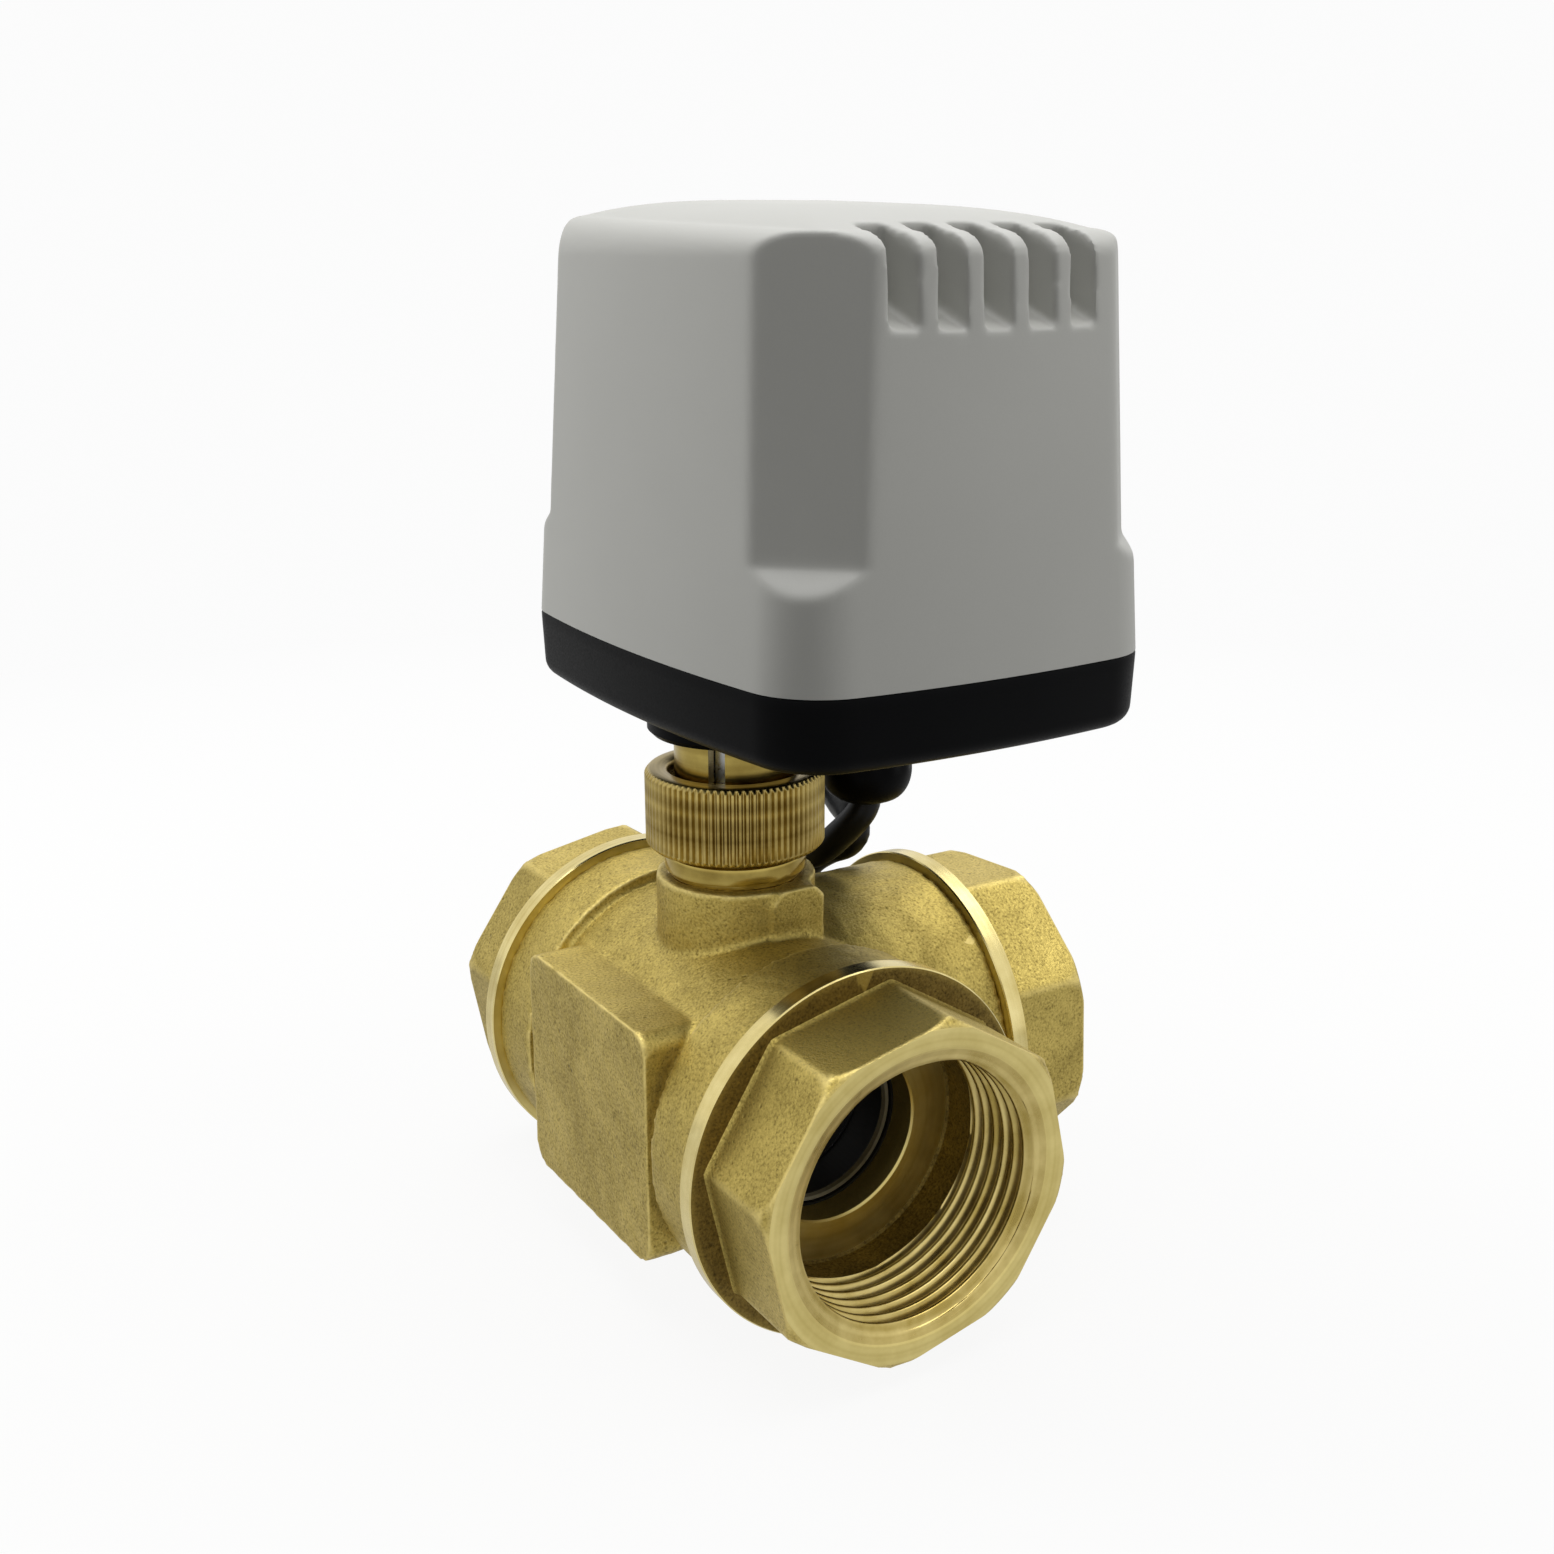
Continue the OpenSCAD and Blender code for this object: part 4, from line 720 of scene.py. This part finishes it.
# %% Turned spigot
# Rows of radius and height in millimetres
spigot_profile = [(5.06, 32.8), (10.7, 32.8), (10.7, 33.25), (10.35, 33.35), (10.35, 33.95), (11.0, 34.15),
                  (11.05, 34.3), (11.05, 36.5), (10.95, 36.7), (10.4, 36.9), (10.4, 37.6), (10.9, 37.75),
                  (10.9, 38.5), (11.2, 38.8)]
spigot_profile += [(11.2 + 0.4 * (k % 2), 38.8 + 0.5 * k) for k in range(1, 14)]
spigot_profile += [(11.0, 46.0), (8.1, 46.0), (8.1, 36.0), (5.06, 36.0)]
spigot_rows = np.array(spigot_profile + spigot_profile[:1]) * mm
spigot_piece = post("turned_spigot", (0, 0), spigot_rows[:, 0], spigot_rows[:, 1], sides=120)
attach(spigot_piece, "valve")
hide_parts("valve_body")
print("spigot faces", len(spigot_piece.data.polygons))

# %% [markdown]
# Every finish is a small network of nodes that reads the place on the object in metres, so a
# grain of 0.4 mm is a noise of scale 1 / 0.0004. A hex colour, as a picture program writes
# it, is turned into the linear colour that a shader works in. One helper adds a node with its
# options and links, and a few short ones built on it add the kinds that come most often.

# %% Material helpers
def linear(code):
    """sRGB hex to linear: c / 12.92 if c is small, and otherwise ((c + 0.055) / 1.055) to the power 2.4."""
    share = np.array([int(code[i:i + 2], 16) for i in (1, 3, 5)]) / 255
    return (*np.where(share <= 0.04045, share / 12.92, ((share + 0.055) / 1.055) ** 2.4).tolist(), 1.0)


def add(tree, kind, inputs=(), **options):
    """Adds one node: options are its own settings, and an input gets a value or another node's output."""
    node = tree.nodes.new("ShaderNode" + kind)
    for key, value in options.items():
        setattr(node, key, value)
    for key, value in dict(inputs).items():
        if isinstance(value, bpy.types.NodeSocket):
            tree.links.new(value, node.inputs[key])
        else:
            node.inputs[key].default_value = value
    return node


def noise(tree, place, size, detail, **more):
    """Noise whose grains are about one size across."""
    inputs = {"Vector": place, "Scale": 1 / size, "Detail": detail, **more}
    return add(tree, "TexNoise", inputs).outputs["Fac"]


def spread(tree, value, low, high, first=0.0, last=1.0):
    """The values from low to high laid out from first to last, and held at both ends."""
    return add(tree, "MapRange", {0: value, 1: low, 2: high, 3: first, 4: last}).outputs[0]


def blend(tree, share, first, second):
    """Number that goes from the first to the second with a share."""
    return add(tree, "Mix", {0: share, 2: first, 3: second}).outputs[0]


def tint(tree, share, first, second):
    """Colour that goes from the first to the second with a share: a hex code, a colour or an output."""
    first, second = [linear(c) if isinstance(c, str) else c for c in (first, second)]
    return add(tree, "Mix", {0: share, 6: first, 7: second}, data_type="RGBA").outputs[2]


def work(tree, operation, first, second, **options):
    """One step of arithmetic with two numbers."""
    return add(tree, "Math", {0: first, 1: second}, operation=operation, **options).outputs[0]


def blank_finish(name, **constants):
    """New material: itself, its tree, its shader with the constants set, and the place on the object."""
    material = bpy.data.materials.new(name)
    material.use_nodes = True
    tree = material.node_tree
    shader = tree.nodes["Principled BSDF"]
    for key, value in constants.items():
        shader.inputs[key.replace("_", " ").title().replace("Ior", "IOR")].default_value = value
    return material, tree, shader, add(tree, "TexCoord").outputs["Object"]


def link_finish(tree, shader, colour, roughness, height=None, relief=0.0):
    """Links colour and roughness to the shader, and a height as a bump of the relief in millimetres."""
    tree.links.new(colour, shader.inputs["Base Color"])
    tree.links.new(roughness, shader.inputs["Roughness"])
    if height is not None:
        bump = add(tree, "Bump", {"Height": height, "Distance": relief * mm})
        tree.links.new(bump.outputs["Normal"], shader.inputs["Normal"])


def moulded(name, light, dark, roughness, grain=0.35, relief=0.02, cloud=18.0, **constants):
    """Moulded or drawn: a wide cloud mixes two near colours, and a fine grain sets roughness and height."""
    material, tree, shader, place = blank_finish(name, **constants)
    wide = noise(tree, place, cloud * mm, 3.0)
    fine = noise(tree, place, grain * mm, 2.0, Roughness=0.6)
    tone = spread(tree, blend(tree, 0.35, wide, fine), 0.32, 0.68)
    rough = spread(tree, fine, 0.3, 0.7, *roughness)
    link_finish(tree, shader, tint(tree, tone, dark, light), rough, fine, relief)
    return material


# %% [markdown]
# The tee and its caps are sand-cast brass. The mould's sand leaves a grit of a few tenths of
# a millimetre, pits where a grain stuck, and wide patches where the skin oxidised. So the
# colour runs from a pale straw to a brown olive with the grit, a second noise picks the
# pits, and both lift the surface. Raised edges, which the mesh's pointiness gives, are
# painted lighter: partly wear rubbed bright, and partly a painted highlight.

# %% Cast brass
def cast_metal(name, pale, mid, pit, roughness, edge_wear_and_highlight="#e0cd85", grit=0.42, relief=0.16):
    """Cast skin: grit and lumps make the height, and its low places take the pit colour and are roughest."""
    material, tree, shader, place = blank_finish(name, metallic=1.0)
    grain = noise(tree, place, grit * mm, 4.0, Roughness=0.62)
    lumps = noise(tree, place, 3.2 * mm, 3.0, Roughness=0.55)
    patches = noise(tree, place, 14 * mm, 4.0, Roughness=0.6, Distortion=0.8)
    cells = add(tree, "TexVoronoi", {"Vector": place, "Scale": 1 / (1.9 * mm)}).outputs["Distance"]
    pits = work(tree, "MULTIPLY", spread(tree, cells, 0.10, 0.26, 1.0, 0.0), spread(tree, lumps, 0.57, 0.67))
    tone = blend(tree, 0.4, grain, patches)
    skin = tint(tree, spread(tree, tone, 0.38, 0.62), mid, pale)
    dark = tint(tree, spread(tree, grain, 0.44, 0.30, 0.0, 0.42), skin, pit)
    pitted = tint(tree, work(tree, "MULTIPLY", pits, 0.5), dark, pit)
    # Convex edges, found by pointiness, turn lighter: partly wear, and partly a painted highlight.
    pointed = add(tree, "NewGeometry").outputs["Pointiness"]
    colour = tint(tree, spread(tree, pointed, 0.512, 0.55, 0.0, 0.8), pitted, edge_wear_and_highlight)
    rough = spread(tree, tone, 0.35, 0.65, roughness[1], roughness[0])
    height = work(tree, "SUBTRACT", blend(tree, 0.45, grain, lumps), work(tree, "MULTIPLY", pits, 0.6))
    link_finish(tree, shader, colour, rough, height, relief)
    return material


cast_brass = cast_metal("sand_cast_brass", "#cab566", "#9c8a49", "#43381b", (0.42, 0.60))
# A darker copy of the cast brass, with darker edges too: painted shade for the face behind each flange and
# the deep bore.
shaded_brass = cast_metal("painted_shade_cast_brass", "#86713a", "#5e4d24", "#2a200c", (0.5, 0.66), edge_wear_and_highlight="#a8934f")
print("cast brass:", len(cast_brass.node_tree.nodes), "nodes")

# %% [markdown]
# Where a lathe has been, the brass shows rings: fine lines round the axis that catch the
# light as a streak. The lines depend on two numbers only, the distance along the axis and
# the distance from it, so the noise reads just those two. Rings on the lathe are finer than
# a tenth of a millimetre; drawn at 0.2 to 0.3 mm they still show in the picture.

# %% Turned brass
axes = {"x": (0, 0, 0), "y": (0, 0, -np.pi / 2), "z": (0, np.pi / 2, 0)}


def turned_metal(name, pale, dark, roughness, axis, line=0.22, relief=0.02):
    """Turned skin: the axis is turned to x, and the noise reads only x and the length of (y, z)."""
    material, tree, shader, place = blank_finish(name, metallic=1.0)
    turned = add(tree, "VectorRotate", {"Vector": place, "Rotation": axes[axis]}, rotation_type="EULER_XYZ")
    along = add(tree, "SeparateXYZ", {0: turned.outputs[0]}).outputs[0]
    off = add(tree, "VectorMath", {0: turned.outputs[0], 1: (0, 1, 1)}, operation="MULTIPLY").outputs[0]
    reach = add(tree, "VectorMath", {0: off}, operation="LENGTH").outputs["Value"]
    ring_place = add(tree, "CombineXYZ", {0: along, 1: reach}).outputs[0]
    lines = noise(tree, ring_place, line * mm, 2.0)
    bands = noise(tree, ring_place, 1.6 * mm, 2.0)
    stain = noise(tree, place, 6 * mm, 4.0, Roughness=0.6)
    colour = tint(tree, spread(tree, blend(tree, 0.5, stain, bands), 0.36, 0.62), dark, pale)
    rough = spread(tree, blend(tree, 0.5, lines, stain), 0.3, 0.7, *roughness)
    link_finish(tree, shader, colour, rough, blend(tree, 0.4, lines, bands), relief)
    return material


def for_ports(name, pale, dark, roughness, **settings):
    """One turned finish for each axis that a port has."""
    return {axis: turned_metal(f"{name}_{axis}", pale, dark, roughness, axis, **settings) for axis in "xy"}


face_brass = for_ports("faced_brass", "#e2d18b", "#c8b56d", (0.28, 0.42))
polished_brass = for_ports("polished_brass", "#ecdc9c", "#cdb974", (0.16, 0.26), line=0.3, relief=0.006)
thread_brass = for_ports("thread_brass", "#dac784", "#a8934f", (0.24, 0.36), relief=0.01)
nut_brass = turned_metal("knurled_brass", "#c0ab68", "#917c44", (0.26, 0.38), "z", relief=0.006)
print("turned brass:", len(face_brass["x"].node_tree.nodes), "nodes")

# %% [markdown]
# The rest is moulded, drawn or plated stock. The case is pale grey ABS from a finely
# spark-eroded mould, which gives a satin skin with a barely visible grain; the base and the
# gland are black nylon with hardly any shine. Inside sit the usual plastics, a steel gear
# plate, a plated motor can and a green board, each with its own grain and sheen.

# %% Moulded, plated and drawn finishes
def seat_finish():
    """PTFE seat: nearly black nearer the middle than 22.5 mm along X and Y, and pale at the lip further out.
    """
    material, tree, shader, place = blank_finish("ptfe_seat_darker_inside_with_pale_lip", specular_ior_level=0.3)
    size = add(tree, "VectorMath", {0: place}, operation="ABSOLUTE").outputs[0]
    apart = add(tree, "SeparateXYZ", {0: size}).outputs
    lip = spread(tree, work(tree, "MAXIMUM", apart[0], apart[1]), 22.5 * mm, 22.7 * mm)
    mottle = noise(tree, place, 3 * mm, 3.0)
    # Nearly black further in and pale at the lip, by the distance along X or Y.
    deep_colour = tint(tree, mottle, "#0e0d0b", "#171512")
    lip_colour = tint(tree, mottle, "#a3a08c", "#b9b6a3")
    link_finish(tree, shader, tint(tree, lip, deep_colour, lip_colour), spread(tree, mottle, 0, 1, 0.45, 0.6))
    return material


def ball_finish():
    """Chrome on the ball's outside, and nearly black nearer to its middle, in the bores: painted shade for
    the deep holes.
    """
    material, tree, shader, place = blank_finish("chromed_ball_with_painted_shade_bore", metallic=1.0)
    distance = add(tree, "VectorMath", {0: place}, operation="LENGTH").outputs["Value"]
    outside = work(tree, "GREATER_THAN", distance, 20.2 * mm)
    smear = noise(tree, place, 4 * mm, 3.0)
    # Painted shade: the bores are coloured nearly black, as deep holes look in shade.
    bore_shade = tint(tree, smear, "#0c0a08", "#14110d")
    plated = tint(tree, smear, "#c2c6ca", "#d2d5d8")
    link_finish(tree, shader, tint(tree, outside, bore_shade, plated), spread(tree, outside, 0, 1, 0.5, 0.08))
    return material


slot_finish = {
    "cover_grey": moulded("satin_grey_abs", "#babab5", "#b4b4af", (0.46, 0.56), 0.25, 0.004, 40),
    "base_black": moulded("black_glass_filled_nylon", "#08090a", "#050506", (0.36, 0.5), 0.3, 0.006,
                          specular_ior_level=0.05),
    "cable_black": moulded("soft_pvc_sheath", "#0d0e0f", "#08090a", (0.34, 0.46), 0.5, 0.01,
                           specular_ior_level=0.2),
    "black_rubber": moulded("black_nitrile_rubber", "#0c0c0b", "#070706", (0.5, 0.62), relief=0.01,
                            specular_ior_level=0.25),
    "ptfe": seat_finish(),
    "gear_nylon": moulded("natural_nylon", "#e9e5d6", "#dcd7c4", (0.35, 0.48), relief=0.006, cloud=8),
    "switch_black": moulded("black_phenolic", "#262524", "#1b1a19", (0.4, 0.55), 0.4, 0.01),
    "terminal_green": moulded("green_nylon_block", "#2f8a4e", "#277944", (0.35, 0.48), relief=0.006),
    "capacitor_blue": moulded("blue_epoxy_shell", "#2b5ea8", "#234f92", (0.22, 0.35), relief=0.004),
    "board": moulded("solder_mask_board", "#1f6a3c", "#175631", (0.28, 0.4), 0.6, 0.01, 5),
    "steel": moulded("zinc_plated_steel", "#c6c8c8", "#a9adb0", (0.24, 0.4), 0.5, 0.004, 9, metallic=1.0),
    "motor_can": moulded("drawn_plated_can", "#b9bcbd", "#9da1a4", (0.28, 0.38), 0.8, 0.006, 7, metallic=1.0),
    "ball_chrome": ball_finish(),
    "machined_brass": turned_metal("turned_brass_z", "#b9a45a", "#8c7638", (0.16, 0.26), "z", 0.25, 0.008),
    "cast_brass": cast_brass}
print("finishes:", len(bpy.data.materials))

# %% [markdown]
# The three cores each have their own colour: brown, blue, and green and yellow in patches.
# The cores were made as one piece for each insulation and one for each bared copper tip,
# because a tube takes one finish. The node of all three takes the first core's finish.

# %% Core finishes
core_finish = {
    "brown": moulded("brown_pvc_core", "#6b4226", "#5c3820", (0.38, 0.5)),
    "earth": moulded("green_yellow_pvc_core", "#d8cf2e", "#3f9a45", (0.38, 0.5), cloud=2.2),
    "blue": moulded("blue_pvc_core", "#2f63b5", "#28559d", (0.38, 0.5)),
    "tip": moulded("stranded_copper", "#d89b6c", "#a9653c", (0.25, 0.4), 0.3, 0.05, metallic=1.0)}
slot_finish["wire_cores"] = core_finish["brown"]
print([core.name for core in cores])

# %% [markdown]
# Each solid of the frame takes the finish of its slot, by assigning it to the object's
# material slot; the mesh itself stays as it came. The dressed pieces take theirs in the same
# way. A cap has five, in the order of its zones: cast flats, turned faces, the polished
# flange, the thread, and painted shade: a darker copy of the cast brass behind the flange
# and inside the bore.

# %% Give every piece its finish
def dress(piece, *finishes):
    """Puts the finishes into the piece's material slots, in order."""
    while len(piece.material_slots) < len(finishes):
        piece.data.materials.append(None)
    for slot, finish in zip(piece.material_slots, finishes):
        slot.link = "OBJECT"
        slot.material = finish


for part in frame["record"]["subparts"]:
    solid = nodes[part["node"]]
    dress(solid, *[slot_finish[part["material_slot"]]] * max(1, len(solid.material_slots)))
for piece, slot_name in ((cover_piece, "cover_grey"), (base_piece, "base_black"),
                         (gland_piece, "base_black"), (body_piece, "cast_brass"),
                         (spigot_piece, "machined_brass"), (cable, "cable_black")):
    dress(piece, slot_finish[slot_name])
dress(nut_piece, nut_brass)
for name, axis in (("front", "x"), ("rear", "x"), ("branch", "y")):
    dress(caps[name], cast_brass, face_brass[axis], polished_brass[axis], thread_brass[axis], shaded_brass)
for core, kind in zip(cores, ("brown", "tip", "earth", "tip", "blue", "tip")):
    dress(core, core_finish[kind])

# %% [markdown]
# The stage is a pale floor in a nearly black world. The camera should see white behind the
# valve, and so should shiny metal, but a white world would also flood the sides with light.
# Light Path tells the rays apart: what the camera or a glossy bounce sees is white, and what
# lights the object stays dark. The floor does the same: it glows towards the camera, and at
# half strength towards shiny metal, and fades into the white of the background.

# %% World and floor
white, lit_grey = 0.97, 0.04
world = bpy.data.worlds.new("studio")
world.use_nodes = True
bpy.context.scene.world = world
sky = world.node_tree
rays = add(sky, "LightPath").outputs
direct = work(sky, "ADD", rays["Is Camera Ray"], rays["Is Glossy Ray"])
seen = work(sky, "ADD", direct, rays["Is Transmission Ray"], use_clamp=True)
sky_colour = tint(sky, seen, (lit_grey, lit_grey, lit_grey, 1), (white, white, white, 1))
sky.links.new(sky_colour, sky.nodes["Background"].inputs["Color"])

floor_height, floor_side = -28.75 * mm, 60.0
near_radius, far_radius = 0.12, 0.5
near_share, near_level, shiny_share = 0.76, 1.2, 0.5
floor_mesh = bpy.data.meshes.new("floor")
floor_corners = [(x * floor_side, y * floor_side, floor_height)
                 for x, y in ((-1, -1), (1, -1), (1, 1), (-1, 1))]
floor_mesh.from_pydata(floor_corners, [], [(0, 1, 2, 3)])
floor = in_scene("floor", floor_mesh)
floor_white, floor_tree, floor_shader, floor_place = blank_finish("pale_paper_floor")
floor_shader.inputs["Base Color"].default_value = linear("#868684")
floor_shader.inputs["Roughness"].default_value = 0.9
floor_rays = add(floor_tree, "LightPath").outputs
from_middle = add(floor_tree, "VectorMath", {0: floor_place}, operation="LENGTH").outputs["Value"]
glow_share = spread(floor_tree, from_middle, near_radius, far_radius, near_share, 1.0)
glow_level = spread(floor_tree, from_middle, near_radius, far_radius, near_level, white)
glow = add(floor_tree, "Emission", {"Strength": glow_level})
camera_share = work(floor_tree, "MULTIPLY", floor_rays["Is Camera Ray"], glow_share)
glossy_share = work(floor_tree, "MULTIPLY", floor_rays["Is Glossy Ray"], shiny_share)
glow_part = work(floor_tree, "ADD", camera_share, glossy_share)
floor_mix = add(floor_tree, "MixShader", {0: glow_part, 1: floor_shader.outputs[0], 2: glow.outputs[0]})
floor_tree.links.new(floor_mix.outputs[0], floor_tree.nodes["Material Output"].inputs["Surface"])
floor_mesh.materials.append(floor_white)
print("floor at", floor_height)

# %% [markdown]
# Three square lamps light the part. The one overhead is large, so its shadows are soft. The
# two at the sides are hidden from glossy rays: they lift the plastic, while metal would show
# them as bright squares. A lamp's watts would be a guess; here they follow from the
# brightness that a white card at the target would show.

# %% Lamps
def soft_lamp(name, place, target, size, brightness, in_metal=True):
    """Square lamp facing a target: watts are brightness times pi squared times the distance squared."""
    data = bpy.data.lights.new(name, "AREA")
    data.shape, data.size = "SQUARE", size
    place, target = np.array(place), np.array(target)
    away = place - target
    data.energy = brightness * np.pi ** 2 * float(away @ away)
    lamp = in_scene(name, data)
    back = away / np.linalg.norm(away)
    level_hint = [0.0, 1.0, 0.0] if abs(back[2]) > 0.9 else [0.0, 0.0, 1.0]
    side = np.cross(level_hint, back)
    side /= np.linalg.norm(side)
    lamp_matrix = np.eye(4)
    lamp_matrix[:3, :3] = np.stack([side, np.cross(back, side), back], 1)
    lamp_matrix[:3, 3] = place
    lamp.matrix_world = Matrix(lamp_matrix.tolist())
    lamp.visible_glossy = in_metal


lamp_target = (0, 0, 0.05)
soft_lamp("overhead", (-0.04, 0.08, 0.85), lamp_target, 1.0, 1.38)
soft_lamp("left_side", (-0.62, -0.62, 0.30), lamp_target, 0.55, 0.58, in_metal=False)
soft_lamp("right_side", (0.62, 0.62, 0.30), lamp_target, 0.55, 0.33, in_metal=False)
